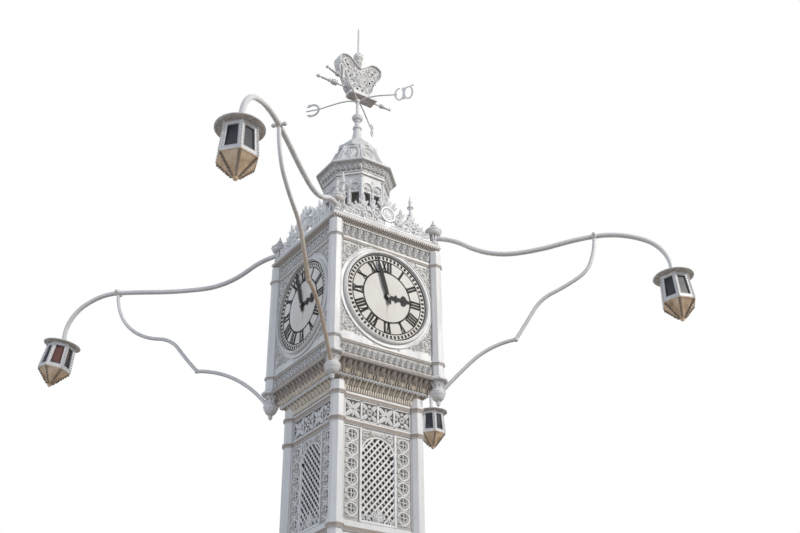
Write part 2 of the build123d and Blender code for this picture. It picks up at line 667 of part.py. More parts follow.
# Lantern cornice: frieze flaring out to a thin octagonal edge
EAVES = 345
with BuildPart() as lantern_cornice:
    with BuildSketch(Plane.XY.offset(DRUM_TOP)):
        RegularPolygon(radius=DRUM + 18, **OCTAGON)
    extrude(amount=22)
    with BuildSketch(Plane.XY.offset(DRUM_TOP + 22)):
        RegularPolygon(radius=DRUM + 6, **OCTAGON)
    with BuildSketch(Plane.XY.offset(EAVES_TOP - 38)):
        RegularPolygon(radius=EAVES - 24, **OCTAGON)
    loft()
    with BuildSketch(Plane.XY.offset(EAVES_TOP - 38)):
        RegularPolygon(radius=EAVES, **OCTAGON)
    extrude(amount=38)
    chamfer(lantern_cornice.faces().sort_by(Axis.Z)[-1].outer_wire().edges(), length=14)
    with BuildSketch(Plane.XY.offset(DRUM_TOP)):
        RegularPolygon(radius=DRUM - 30, **OCTAGON)
    extrude(amount=EAVES_TOP - DRUM_TOP, mode=Mode.SUBTRACT)

# Dome: bell-shaped octagonal shell under a small cap turned by half a facet
DOME_LEVELS = ((0, 300), (60, 262), (150, 222), (CAP_FOOT - EAVES_TOP, 178))
with BuildPart() as dome:
    for (low, wide), (high, narrow) in zip(DOME_LEVELS, DOME_LEVELS[1:]):
        with BuildSketch(Plane.XY.offset(EAVES_TOP + low)):
            RegularPolygon(radius=wide, **OCTAGON)
        with BuildSketch(Plane.XY.offset(EAVES_TOP + high)):
            RegularPolygon(radius=narrow, **OCTAGON)
        loft()
    with BuildSketch(Plane.XY.offset(EAVES_TOP)):
        RegularPolygon(radius=255, **OCTAGON)
    with BuildSketch(Plane.XY.offset(CAP_FOOT - 20)):
        RegularPolygon(radius=150, **OCTAGON)
    loft(mode=Mode.SUBTRACT)
with BuildPart() as dome_cap:
    with BuildSketch(Plane.XY.offset(CAP_FOOT)):
        RegularPolygon(radius=180, side_count=8, major_radius=False, rotation=0)
    extrude(amount=CAP_TOP - CAP_FOOT)
    with BuildSketch(Plane.XY.offset(CAP_TOP)):
        RegularPolygon(radius=170, side_count=8, major_radius=False, rotation=0)
    with BuildSketch(Plane.XY.offset(CAP_TOP + 140)):
        RegularPolygon(radius=52, side_count=8, major_radius=False, rotation=0)
    loft()

# Neck with its rings and ball, then the fixed mast
NECK_FOOT = CAP_TOP + 140
BOSS_RISE = 30
BOSS_FOOT = ARM_LEVEL - BOSS_RISE / 2
STEM = 15
with BuildPart() as neck:
    with BuildSketch(Plane.XZ):
        with BuildLine():
            Polyline(
                (0, NECK_FOOT),
                (52, NECK_FOOT),
                (34, NECK_FOOT + 118),
                (44, NECK_FOOT + 130),
                (44, NECK_FOOT + 144),
                (30, NECK_FOOT + 160),
                (22, NECK_FOOT + 205),
                (30, NECK_FOOT + 214),
                (30, NECK_FOOT + 226),
                (46, NECK_FOOT + 240),
                (54, NECK_FOOT + 262),
                (46, NECK_FOOT + 284),
                (24, NECK_FOOT + 302),
                (STEM, NECK_FOOT + 322),
                (STEM, BOSS_FOOT),
                (0, BOSS_FOOT),
                close=True,
            )
        make_face()
    revolve(axis=Axis.Z)
with BuildPart() as mast:
    with BuildSketch(Plane.XY.offset(BOSS_FOOT)):
        Circle(MAST)
    extrude(amount=MAST_TOP - BOSS_FOOT - 40)
    with BuildSketch(Plane.XZ):
        with BuildLine():
            Polyline(
                (0, MAST_TOP - 40),
                (MAST, MAST_TOP - 40),
                (2, MAST_TOP),
                (0, MAST_TOP),
                close=True,
            )
        make_face()
    revolve(axis=Axis.Z)

# Cardinal arms: four bowed rods on a boss fixed to the mast
ARM_TURN = 40
ARM_REACH = 394
with BuildPart() as bowed_rod:
    with BuildLine(Plane.XZ) as rod_path:
        r1 = TangentArc((18, ARM_LEVEL - 4), (112, ARM_LEVEL + 26), tangent=(0.84, 0.54))
        r2 = TangentArc(r1 @ 1, (230, ARM_LEVEL + 20), tangent=r1 % 1)
        r3 = TangentArc(r2 @ 1, (ARM_REACH, ARM_LEVEL - 6), tangent=r2 % 1)
    with BuildSketch(Plane(origin=rod_path.wires()[0] @ 0, z_dir=rod_path.wires()[0] % 0)):
        Circle(6.5)
    sweep(path=rod_path.wires()[0])
with BuildPart() as cardinal_arms:
    with BuildSketch(Plane.XY.offset(BOSS_FOOT)):
        Circle(24)
    extrude(amount=BOSS_RISE)
    with PolarLocations(0, 4, start_angle=ARM_TURN):
        add(bowed_rod.part)
    with BuildSketch(Plane.XY.offset(BOSS_FOOT)):
        Circle(MAST)
    extrude(amount=BOSS_RISE, mode=Mode.SUBTRACT)

# Cardinal letters in round-bowed capitals, cut from plate and set upright on the arms' ends,
# each with a tang that runs inward to its arm
LETTER = 150
STROKE = 19
with BuildSketch() as letter_e:
    Circle(LETTER / 2)
    Circle(LETTER / 2 - STROKE, mode=Mode.SUBTRACT)
    with Locations((LETTER / 2, 0)):
        Rectangle(0.7 * LETTER, 0.62 * LETTER, mode=Mode.SUBTRACT)
    Rectangle(LETTER - 20, 10)
    with Locations((0.2 * LETTER, 0.42 * LETTER), (0.2 * LETTER, -0.42 * LETTER)):
        Rectangle(30, 20, rotation=45)
with BuildSketch() as letter_w:
    for flank in (-1, 1):
        with Locations((flank * 0.29 * LETTER, 0)):
            Ellipse(0.34 * LETTER, LETTER / 2)
            Ellipse(0.34 * LETTER - STROKE, LETTER / 2 - 9, mode=Mode.SUBTRACT)
    with Locations((-0.1 * LETTER, LETTER / 2)):
        Rectangle(0.34 * LETTER, 30, mode=Mode.SUBTRACT)
    Rectangle(STROKE, LETTER - 12)
    with Locations((0.5 * LETTER, 0.5 * LETTER)):
        Rectangle(46, 9, rotation=22)
with BuildSketch() as letter_n:
    with Locations((0.14 * LETTER, 0)):
        Ellipse(0.4 * LETTER, LETTER / 2)
        Ellipse(0.4 * LETTER - STROKE, LETTER / 2 - 9, mode=Mode.SUBTRACT)
        with Locations((0, -LETTER / 2)):
            Rectangle(0.42 * LETTER, 40, mode=Mode.SUBTRACT)
    with Locations((-0.3 * LETTER, 0)):
        Rectangle(STROKE, LETTER)
    with Locations((-0.3 * LETTER, LETTER / 2 - 5), (-0.3 * LETTER, 5 - LETTER / 2)):
        Rectangle(34, 10)
with BuildSketch() as letter_s:
    with Locations((0, 0.235 * LETTER)):
        Circle(0.27 * LETTER)
        Circle(0.27 * LETTER - STROKE, mode=Mode.SUBTRACT)
        with Locations((0.2 * LETTER, -0.12 * LETTER)):
            Rectangle(0.3 * LETTER, 0.24 * LETTER, mode=Mode.SUBTRACT)
with BuildSketch() as letter_s_foot:
    with Locations((0, -0.235 * LETTER)):
        Circle(0.27 * LETTER)
        Circle(0.27 * LETTER - STROKE, mode=Mode.SUBTRACT)
        with Locations((-0.2 * LETTER, 0.12 * LETTER)):
            Rectangle(0.3 * LETTER, 0.24 * LETTER, mode=Mode.SUBTRACT)
with BuildPart() as cardinal_letters:
    for turn, shape, inset in ((90, letter_e, 0.45), (0, letter_s, 0.05), (-90, letter_w, 0.45), (180, letter_n, 0.3)):
        upright = Plane.XZ.rotated((0, 0, ARM_TURN + turn)).offset(-4)
        with BuildSketch(upright):
            with Locations((ARM_REACH + LETTER / 2 - 2, ARM_LEVEL - 6)):
                add(shape.sketch_local)
                if shape is letter_s:
                    add(letter_s_foot.sketch_local)
            with Locations((ARM_REACH - 6, ARM_LEVEL - 6)):
                Rectangle((0.5 - inset) * LETTER + 4, 9, align=(Align.MIN, Align.CENTER))
        extrude(amount=8)

# Weather vane: a crown of two pierced plates in a deep rim, on a box that turns about the mast
VANE_TURN = 0
CROWN_HALF_DEPTH = CROWN_DEPTH / 2
BOX_FOOT = CROWN_FOOT - BOX_RISE
with BuildPart() as vane_box:
    with BuildSketch(Plane.XY.offset(BOX_FOOT)):
        with Locations((38, 0)):
            Rectangle(300, BOX_DEPTH)
    extrude(amount=BOX_RISE)
    chamfer(vane_box.edges().filter_by(Axis.Z).group_by(Axis.X)[0], length=24)
    with BuildSketch(Plane.XY.offset(BOX_FOOT)):
        Circle(MAST + MAST_FIT)
    extrude(amount=BOX_RISE, mode=Mode.SUBTRACT)
with BuildSketch(Plane.XZ.offset(-CROWN_HALF_DEPTH)) as heart:
    with BuildLine():
        Line((0, CROWN_FOOT), (70, CROWN_FOOT))
        ThreePointArc((70, CROWN_FOOT), (112, CROWN_FOOT + 28), (136, CROWN_FOOT + 72))
        ThreePointArc((136, CROWN_FOOT + 72), (162, CROWN_FOOT + 156), (206, CROWN_FOOT + 232))
        ThreePointArc((206, CROWN_FOOT + 232), (238, CROWN_FOOT + 300), (240, CROWN_FOOT + 366))
        ThreePointArc((240, CROWN_FOOT + 366), (180, CROWN_FOOT + 408), (104, CROWN_FOOT + 388))
        ThreePointArc((104, CROWN_FOOT + 388), (50, CROWN_FOOT + 338), (0, CROWN_FOOT + 300))
        Line((0, CROWN_FOOT + 300), (0, CROWN_FOOT))
    make_face()
    mirror(about=Plane.YZ)
with BuildPart() as heart_block:
    with BuildSketch(Plane.XZ.offset(-CROWN_HALF_DEPTH)):
        add(heart.sketch_local)
    extrude(amount=CROWN_DEPTH)
with BuildPart() as vane_crown:
    add(heart_block.part)
    with BuildSketch(Plane.XZ.offset(-CROWN_HALF_DEPTH)):
        add(offset(heart.sketch_local, amount=-BAND, mode=Mode.PRIVATE))
    extrude(amount=CROWN_DEPTH, mode=Mode.SUBTRACT)
    with BuildSketch(Plane.XY.offset(CROWN_FOOT - 20)):
        Circle(MAST + MAST_FIT)
    extrude(amount=BAND + 40, mode=Mode.SUBTRACT)
    with BuildSketch(Plane.XY.offset(CROWN_FOOT + 250)):
        Circle(MAST + MAST_FIT)
    extrude(amount=150, mode=Mode.SUBTRACT)
with BuildPart() as vane_finial:
    with BuildSketch(Plane.XZ):
        with BuildLine():
            Polyline(
                (0, CROWN_FOOT + 310.5),
                (14, CROWN_FOOT + 310.5),
                (14, CROWN_FOOT + 318),
                (34, CROWN_FOOT + 344),
                (20, CROWN_FOOT + 366),
                (40, CROWN_FOOT + 398),
                (30, CROWN_FOOT + 424),
                (50, CROWN_FOOT + 462),
                (46, CROWN_FOOT + 494),
                (22, CROWN_FOOT + 508),
                (16, CROWN_FOOT + 524),
                (0, CROWN_FOOT + 524),
                close=True,
            )
        make_face()
    revolve(axis=Axis.Z)
    with BuildSketch(Plane.XY.offset(CROWN_FOOT + 300)):
        Circle(MAST + MAST_FIT)
    extrude(amount=250, mode=Mode.SUBTRACT)
PLATE = 6
PLATE_RECESS = 22
with BuildSketch() as piercings:
    for row in range(9):
        with Locations((0, CROWN_FOOT + 46 + 42 * row)):
            with GridLocations(56, 0, 8 - row % 2, 1):
                RegularPolygon(radius=17, side_count=4, rotation=45 * (row % 2))
    add(offset(heart.sketch_local, amount=-BAND - 16, mode=Mode.PRIVATE), mode=Mode.INTERSECT)
with BuildPart() as vane_tracery:
    for recess in (PLATE_RECESS + PLATE - CROWN_HALF_DEPTH, CROWN_HALF_DEPTH - PLATE_RECESS):
        with BuildSketch(Plane.XZ.offset(recess - PLATE)):
            add(offset(heart.sketch_local, amount=-BAND, mode=Mode.PRIVATE))
            add(piercings.sketch_local, mode=Mode.SUBTRACT)
        extrude(amount=PLATE)


def sceptre(length, swell):
    """A turned rod along +Z with a knop at its middle and a knob at its end."""
    with BuildPart() as rod:
        with BuildSketch(Plane.XZ):
            with BuildLine():
                Polyline(
                    (0, 0),
                    (9, 0),
                    (9, 0.34 * length),
                    (swell, 0.42 * length),
                    (swell, 0.50 * length),
                    (11, 0.55 * length),
                    (14, 0.62 * length),
                    (12, 0.80 * length),
                    (7, 0.86 * length),
                    (14, 0.92 * length),
                    (14, 0.96 * length),
                    (4, length),
                    (0, length),
                    close=True,
                )
            make_face()
        revolve(axis=Axis.Z)
    return rod.part


with BuildPart() as vane_staves:
    add(Location((-100, 0, CROWN_FOOT + 42), (0, -90, 0)) * sceptre(368, 25))
    add(Location((-120, 0, CROWN_FOOT + 127), (0, -73, 0)) * sceptre(256, 22))
    add(heart_block.part, mode=Mode.SUBTRACT)
    add(Location((180, 0, CROWN_FOOT - BOX_RISE / 2), (0, 90, 0)) * sceptre(205, 16))
# Lamp: round cap, six-sided frame with panes, pyramid bottom with a knob
LAMP_CAP_THICK = 22
BODY_TOP = -LAMP_COLLAR - LAMP_CAP_THICK
BODY_FOOT = BODY_TOP - LAMP_BODY
FRAME_BAR = 20
FRAME_RAIL = 32
with BuildPart() as lamp_cap:
    with BuildSketch(Plane.XZ):
        with BuildLine():
            Polyline(
                (0, 0),
                (PIPE + 6, 0),
                (PIPE + 6, -20),
                (54, -LAMP_COLLAR + 8),
                (LAMP_CAP - 6, -LAMP_COLLAR - 10),
                (LAMP_CAP, -LAMP_COLLAR - 14),
                (LAMP_CAP - 4, BODY_TOP),
                (0, BODY_TOP),
                close=True,
            )
        make_face()
    revolve(axis=Axis.Z)
with BuildPart() as lamp_frame:
    with BuildSketch(Plane.XY.offset(BODY_TOP)):
        RegularPolygon(radius=LAMP_WAIST, side_count=6)
    with BuildSketch(Plane.XY.offset(BODY_FOOT)):
        RegularPolygon(radius=LAMP_SKIRT, side_count=6)
    loft()
    with BuildSketch(Plane.XY.offset(BODY_TOP)):
        RegularPolygon(radius=LAMP_WAIST - 12, side_count=6)
    with BuildSketch(Plane.XY.offset(BODY_FOOT)):
        RegularPolygon(radius=LAMP_SKIRT - 12, side_count=6)
    loft(mode=Mode.SUBTRACT)
    for turn in (30, 90, 150):
        with BuildSketch(Plane.XZ.rotated((0, 0, turn + 90)).offset(-200)):
            with BuildLine():
                Polyline(
                    (-LAMP_SKIRT / 2 + FRAME_BAR, BODY_FOOT + FRAME_RAIL),
                    (LAMP_SKIRT / 2 - FRAME_BAR, BODY_FOOT + FRAME_RAIL),
                    (LAMP_WAIST / 2 - FRAME_BAR, BODY_TOP - FRAME_RAIL),
                    (-LAMP_WAIST / 2 + FRAME_BAR, BODY_TOP - FRAME_RAIL),
                    close=True,
                )
            make_face()
        extrude(amount=400, mode=Mode.SUBTRACT)
with BuildPart() as lamp_pane:
    with BuildSketch(Plane.XY.offset(BODY_TOP)):
        RegularPolygon(radius=LAMP_WAIST - 12, side_count=6)
    with BuildSketch(Plane.XY.offset(BODY_FOOT)):
        RegularPolygon(radius=LAMP_SKIRT - 12, side_count=6)
    loft()
    with BuildSketch(Plane.XY.offset(BODY_TOP)):
        RegularPolygon(radius=LAMP_WAIST - 17, side_count=6)
    with BuildSketch(Plane.XY.offset(BODY_FOOT)):
        RegularPolygon(radius=LAMP_SKIRT - 17, side_count=6)
    loft(mode=Mode.SUBTRACT)
with BuildPart() as lamp_bottom:
    with BuildSketch(Plane.XY.offset(BODY_FOOT)):
        RegularPolygon(radius=LAMP_SKIRT + 6, side_count=6)
    extrude(amount=-10)
    with BuildSketch(Plane.XY.offset(BODY_FOOT - 10)):
        RegularPolygon(radius=LAMP_SKIRT, side_count=6)
    with BuildSketch(Plane.XY.offset(BODY_FOOT - LAMP_TIP + 24)):
        RegularPolygon(radius=24, side_count=6)
    loft()
    with BuildSketch(Plane.XY.offset(BODY_FOOT)):
        RegularPolygon(radius=LAMP_SKIRT - 14, side_count=6)
    with BuildSketch(Plane.XY.offset(BODY_FOOT - LAMP_TIP + 50)):
        RegularPolygon(radius=20, side_count=6)
    loft(mode=Mode.SUBTRACT)
    with Locations((0, 0, BODY_FOOT - LAMP_TIP + 18)):
        Sphere(20)

# Lamp arms: a bent main pipe from each corner urn, braced by a second pipe from the pendant.
# Each row: corner, azimuth, reach of the junction, the elbow and the lamp, droop of the lamp, its lean,
# and how far the brace sags.
ARMS = (
    ((-1, -1), -138.5, (1372, 610, 2030), 72, 1, 0),
    ((1, -1), -46, (1388, 663, 1983), 0, 3, 0),
    ((-1, 1), 131.5, (1572, 704, 2064), 0, 9.5, 22),
    ((1, 1), 38, (1395, 663, 1950), -90, 2, 0),
)
JUNCTION = CORNICE_TOP - JUNCTION_TOP
CUSP = CORBEL_TOP + 319
lamp_places = []
pipe_parts = []
brace_parts = []
for (side_x, side_y), azimuth, (branch, elbow, reach), droop, lean, sag in ARMS:
    crook = branch + 0.7 * (reach - branch)
    lamp_end = CORNICE_TOP - 503 - droop
    lamp_at = Location((reach, 0, lamp_end)) * Location((0, 0, 0), (0, -lean, 0))
    with BuildPart() as main_pipe:
        with BuildLine(Plane.XZ) as pipe_path:
            p1 = TangentArc((0, CORNICE_TOP + 76), (285, CORNICE_TOP - 34), tangent=(0.99, -0.12))
            p2 = TangentArc(p1 @ 1, (720, CORNICE_TOP - 168), tangent=p1 % 1)
            p3 = TangentArc(p2 @ 1, (0.78 * branch, CORNICE_TOP - 128 - 0.15 * droop), tangent=p2 % 1)
            p4 = TangentArc(p3 @ 1, (branch, JUNCTION - 0.3 * droop), tangent=p3 % 1)
            p5 = TangentArc(p4 @ 1, (crook, CORNICE_TOP - 180 - 0.6 * droop), tangent=p4 % 1)
            p6 = TangentArc(p5 @ 1, (reach, lamp_end), tangent=p5 % 1)
        with BuildSketch(Plane(origin=pipe_path.wires()[0] @ 0, z_dir=pipe_path.wires()[0] % 0)):
            Circle(PIPE)
        sweep(path=pipe_path.wires()[0])
        with Locations((branch, 0, JUNCTION - 0.3 * droop)):
            Sphere(PIPE + 8)
            Cylinder(11, 88, rotation=(90, 0, 0))
        with Locations((branch, -44, JUNCTION - 0.3 * droop), (branch, 44, JUNCTION - 0.3 * droop)):
            Sphere(17)
        add(Location((0, 0, CORNICE_TOP)) * finial.part, mode=Mode.SUBTRACT)
        add(lamp_at * lamp_cap.part, mode=Mode.SUBTRACT)
    spread = (branch - elbow) / 725
    with BuildPart() as brace:
        with BuildLine(Plane.XZ) as outer_path:
            b1 = TangentArc(
                (branch, JUNCTION - 0.3 * droop),
                (branch - 53 * spread, JUNCTION - 247),
                tangent=(-0.04, -1),
            )
            b2 = TangentArc(b1 @ 1, (branch - 163 * spread, JUNCTION - 380 - 1.5 * sag), tangent=b1 % 1)
            b3 = TangentArc(b2 @ 1, (branch - 388 * spread, JUNCTION - 500 - 1.5 * sag), tangent=b2 % 1)
            b4 = TangentArc(b3 @ 1, (elbow + 167 * spread, CUSP + 254 - sag / 2), tangent=b3 % 1)
            b5 = TangentArc(b4 @ 1, (elbow, CUSP), tangent=b4 % 1)
        with BuildSketch(Plane(origin=outer_path.wires()[0] @ 0, z_dir=outer_path.wires()[0] % 0)):
            Circle(BRACE_PIPE)
        sweep(path=outer_path.wires()[0])
        with BuildLine(Plane.XZ) as inner_path:
            c1 = TangentArc((elbow, CUSP), (0.43 * elbow, CUSP - 164 + sag), tangent=(-1, -0.1))
            c2 = TangentArc(c1 @ 1, (30, CORBEL_TOP - 88), tangent=c1 % 1)
        with BuildSketch(Plane(origin=inner_path.wires()[0] @ 0, z_dir=inner_path.wires()[0] % 0)):
            Circle(BRACE_PIPE)
        sweep(path=inner_path.wires()[0])
        with Locations((elbow, 0, CUSP)):
            Sphere(BRACE_PIPE + 5)
        add(main_pipe.part, mode=Mode.SUBTRACT)
        add(Location((0, 0, CORBEL_TOP)) * pendant.part, mode=Mode.SUBTRACT)
    base = Location((side_x * HEAD_AXIS, side_y * HEAD_AXIS, 0)) * Location((0, 0, 0), (0, 0, azimuth))
    pipe_parts.append(base * main_pipe.part)
    brace_parts.append(base * brace.part)
    lamp_places.append(base * lamp_at)
with BuildPart() as lamp_pipes:
    for piece in pipe_parts:
        add(piece)
with BuildPart() as lamp_braces:
    for piece in brace_parts:
        add(piece)

lamp_nodes = {}
for node_name, pattern in (
    ("lamp_caps", lamp_cap),
    ("lamp_frames", lamp_frame),
    ("lamp_panes", lamp_pane),
    ("lamp_bottoms", lamp_bottom),
):
    with BuildPart() as lamp_node:
        for place in lamp_places:
            add(place * pattern.part)
    lamp_nodes[node_name] = lamp_node.part



def joined(*pieces):
    """One node out of pieces that belong together."""
    with BuildPart() as whole:
        for piece in pieces:
            add(piece)
    return whole.part


# Every sub-part, by name
vane_place = Location((0, 0, 0), (0, 0, VANE_TURN))
nodes = {
    "stone_step": stone_step.part,
    "pedestal": joined(plinth.part, pedestal.part),
    "pedestal_cap": pedestal_cap.part,
    "lower_stage_wall": lower_stage_wall,
    "lower_stage_panels": lower_stage_panels.part,
    "shaft_columns": shaft_columns,
    "shaft_bands": joined(sill_band, lower_shaft_band, upper_shaft_band),
    "lattice_stage_wall": lattice_stage_wall.part,
    "shaft_frieze": shaft_frieze,
    "corbel": corbel.part,
    "lower_cornice": lower_cornice.part,
    "head_wall": head_wall.part,
    "head_columns": head_columns,
    "dial_bands": joined(dial_sill_band, dial_head_band),
    "dial_glasses": dial_glasses.part,
    "dial_bezels": dial_bezels.part,
    "dial_arbors": dial_arbors.part,
    "upper_cornice": upper_cornice.part,
    "roof": roof.part,
    "cresting": joined(cresting.part, pinnacles.part),
    "corner_finials": corner_finials.part,
    "corner_pendants": corner_pendants.part,
    "lamp_pipes": lamp_pipes.part,
    "lamp_braces": lamp_braces.part,
    "lantern_drum": lantern_drum.part,
    "lantern_cornice": lantern_cornice.part,
    "dome": joined(dome.part, dome_cap.part),
    "mast": joined(neck.part, mast.part),
    "cardinal_arms": joined(cardinal_arms.part, cardinal_letters.part),
    "vane_box": vane_place * joined(vane_box.part, vane_staves.part, vane_finial.part),
    "vane_crown": vane_place * vane_crown.part,
    "vane_tracery": vane_place * vane_tracery.part,
}
nodes.update(hands)
nodes.update(lamp_nodes)
with BuildPart() as arch_grilles:
    with PolarLocations(0, 4):
        add(grille.part)
nodes["arch_grilles"] = arch_grilles.part
for name, piece in nodes.items():
    piece.label = name
    export_step(piece, "parts/" + name + ".step")
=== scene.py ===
import math

import bmesh
import bpy
from mathutils import Matrix, Vector


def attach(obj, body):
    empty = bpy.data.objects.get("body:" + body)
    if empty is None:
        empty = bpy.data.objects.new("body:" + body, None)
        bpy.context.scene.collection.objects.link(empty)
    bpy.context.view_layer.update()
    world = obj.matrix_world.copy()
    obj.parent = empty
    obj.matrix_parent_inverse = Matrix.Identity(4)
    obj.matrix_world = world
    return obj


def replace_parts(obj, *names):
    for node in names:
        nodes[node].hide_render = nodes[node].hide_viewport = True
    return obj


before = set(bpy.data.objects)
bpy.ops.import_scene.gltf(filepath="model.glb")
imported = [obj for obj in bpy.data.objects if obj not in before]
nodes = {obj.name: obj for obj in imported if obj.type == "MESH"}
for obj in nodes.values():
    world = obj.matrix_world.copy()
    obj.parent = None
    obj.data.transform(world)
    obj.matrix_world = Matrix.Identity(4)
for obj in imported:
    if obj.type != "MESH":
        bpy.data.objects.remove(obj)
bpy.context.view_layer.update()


# Stone step: two courses of grey granite that carry the castings, split, dressed by hand and laid dry.
# What drips off the pedestal leaves tan patches on it. Flow and Finish write this finish and all later ones.
class Flow:
    """A number, colour, vector or mesh on its way through a tree of nodes."""

    def __init__(self, tree, out=None):
        self.tree, self.out = tree, out

    def node(self, kind, settings=None, inputs=None, output=0):
        """Adds a node: its settings come first, then the values and links of its sockets."""
        made = self.tree.nodes.new(kind)
        for name, value in (settings or {}).items():
            if name == "stops":
                stops = made.color_ramp.elements
                while len(stops) < len(value):
                    stops.new(0.5)
                for stop, (at, shade) in zip(stops, value):
                    stop.position, stop.color = at, (*shade, 1.0)
            else:
                setattr(made, name, value)
        for name, value in (inputs or {}).items():
            if isinstance(value, Flow):
                self.tree.links.new(value.out, made.inputs[name])
            else:
                made.inputs[name].default_value = value
        return Flow(self.tree, made.outputs[output])

    def math(self, operation, first, second=0.0):
        return self.node("ShaderNodeMath", {"operation": operation}, {0: first, 1: second})

    def __abs__(self):
        return self.math("ABSOLUTE", self)

    def __add__(self, other):
        return self.math("ADD", self, other)

    def __sub__(self, other):
        return self.math("SUBTRACT", self, other)

    def __rsub__(self, other):
        return self.math("SUBTRACT", other, self)

    def __mul__(self, other):
        return self.math("MULTIPLY", self, other)

    def __rtruediv__(self, other):
        return self.math("DIVIDE", other, self)

    __radd__, __rmul__ = __add__, __mul__

    def between(self, low, high):
        """0 below low, 1 above high, a straight climb in between."""
        return self.node("ShaderNodeMapRange", {}, {"Value": self, "From Min": low, "From Max": high})

    def part(self, axis):
        """One part of a vector: 0 across, 1 to the back, 2 up."""
        return self.node("ShaderNodeSeparateXYZ", {}, {0: self}, axis)

    def shades(self, *stops):
        """The colour that a ramp gives to this number."""
        return self.node("ShaderNodeValToRGB", {"stops": stops}, {0: self})

    def toward(self, other, amount):
        """This colour, turning to the other as amount goes to 1."""
        return self.node("ShaderNodeMix", {"data_type": "RGBA"}, {0: amount, 6: self, 7: (*other, 1.0)}, 2)


class Finish:
    """One material with its shader, and the place on the object that its patterns are read from."""

    def __init__(self, name, roughness=0.5, specular=0.5):
        self.material = bpy.data.materials.new(name)
        self.material.use_nodes = True
        self.tree = self.material.node_tree
        self.shader = self.tree.nodes["Principled BSDF"]
        self.shader.inputs["Roughness"].default_value = roughness
        self.shader.inputs["Specular IOR Level"].default_value = specular
        self.place = Flow(self.tree).node("ShaderNodeTexCoord", output=3)

    def noise(self, scale, detail=4.0, stretch=(1, 1, 1)):
        at = self.place.node("ShaderNodeMapping", {}, {"Vector": self.place, "Scale": stretch})
        inputs = {"Vector": at, "Scale": scale, "Detail": detail, "Roughness": 0.55}
        return at.node("ShaderNodeTexNoise", {}, inputs)

    def feed(self, socket, flow):
        self.tree.links.new(flow.out, self.shader.inputs[socket])

    def relief(self, height, strength, distance):
        inputs = {"Height": height, "Strength": strength, "Distance": distance}
        self.feed("Normal", height.node("ShaderNodeBump", {}, inputs))

    def onto(self, *names):
        for name in names:
            nodes[name].data.materials.clear()
            nodes[name].data.materials.append(self.material)


granite = Finish("granite")
speckle, stone_stain = granite.noise(140, 6), granite.noise(3, 5)
stone = speckle.shades((0.3, (0.13, 0.125, 0.12)), (0.5, (0.30, 0.29, 0.28)), (0.72, (0.47, 0.46, 0.44)))
granite.feed("Base Color", stone.toward((0.33, 0.28, 0.22), stone_stain.between(0.5, 0.8) * 0.6))
granite.feed("Roughness", speckle.between(0.0, 1.0) * 0.25 + 0.6)
granite.relief(speckle + stone_stain * 0.6, 0.35, 0.003)
granite.onto("stone_step")


# Painted castings: pedestal, shaft, head and arms are cast iron, bolted together, under many coats of white.
# Rain washes the fronts and dust runs down them in streaks. Rust spots them, and what faces down is painted
# darker brown, part tan stain and part painted shade.
def white_paint(name, stain=1.0, shade=(0.80, 0.80, 0.79), tan=None):
    """Weathered paint: stain says how dirty it is and how dark its downward faces are painted, and tan
    colours the run-off on the arms near the head.
    """
    grime, underside_stain_and_shade, rust = (0.42, 0.40, 0.37), (0.25, 0.185, 0.125), (0.42, 0.20, 0.09)
    paint = Finish(name)
    streaks, blotches, grain = paint.noise(9, 6, (1.0, 1.0, 0.16)), paint.noise(2.6, 5), paint.noise(60, 5)
    # Faces that point down turn darker brown: tan stain with painted shade.
    upward = paint.place.node("ShaderNodeNewGeometry", output=1).part(2)
    under = (0.0 - upward).between(0.15, 0.85)
    dirt = (streaks * 0.6 + blotches * 0.4).between(0.47, 0.72)
    specks = paint.noise(17, 3).between(0.66, 0.74) * paint.noise(4, 2).between(0.5, 0.62)
    color = blotches.shades((0.35, tuple(c * 0.93 for c in shade)), (0.62, shade))
    color = color.toward(grime, dirt * (0.34 * stain))
    color = color.toward(underside_stain_and_shade, under * (grain.between(0.25, 0.62) * 0.45 + 0.35) * (0.85 * stain))
    color = color.toward(rust, specks * (0.55 * stain))
    if tan:
        outward = 0.0 - paint.place.part(0) - paint.place.part(1)
        run = outward.between(1.02, 1.10) * (1.0 - outward.between(2.0, 2.5))
        color = color.toward(tan, run * (grain * 0.5 + 0.5))
    paint.feed("Base Color", color)
    paint.feed("Roughness", dirt * 0.25 + grain * 0.15 + 0.34)
    paint.relief(grain + blotches * 0.5, 0.25, 0.0012)
    return paint


cast_white = white_paint("weathered_white_paint")
cast_white.onto(
    "pedestal", "pedestal_cap", "lower_stage_wall", "lower_stage_panels", "shaft_columns", "shaft_bands",
    "lattice_stage_wall", "arch_grilles", "shaft_frieze", "lower_cornice", "head_wall", "head_columns",
    "dial_bands", "dial_bezels", "upper_cornice", "roof", "corner_finials", "corner_pendants", "lamp_pipes",
    "lamp_frames", "lantern_drum", "lantern_cornice", "dome", "mast", "cardinal_arms", "vane_crown",
    "vane_tracery",
)
# The vane box and the lamp caps take more stain, so what faces down on them is painted darker: tan stain with
# painted shade.
white_paint("box_paint_shaded_below", 1.35, (0.86, 0.86, 0.85)).onto("vane_box")
white_paint("rusty_arbor_paint", 2.4, (0.34, 0.26, 0.20)).onto("dial_arbors")
white_paint("lamp_cap_paint", 1.35, (0.84, 0.81, 0.76)).onto("lamp_caps")
white_paint("tan_streaked_brace_paint", tan=(0.36, 0.25, 0.145)).onto("lamp_braces")


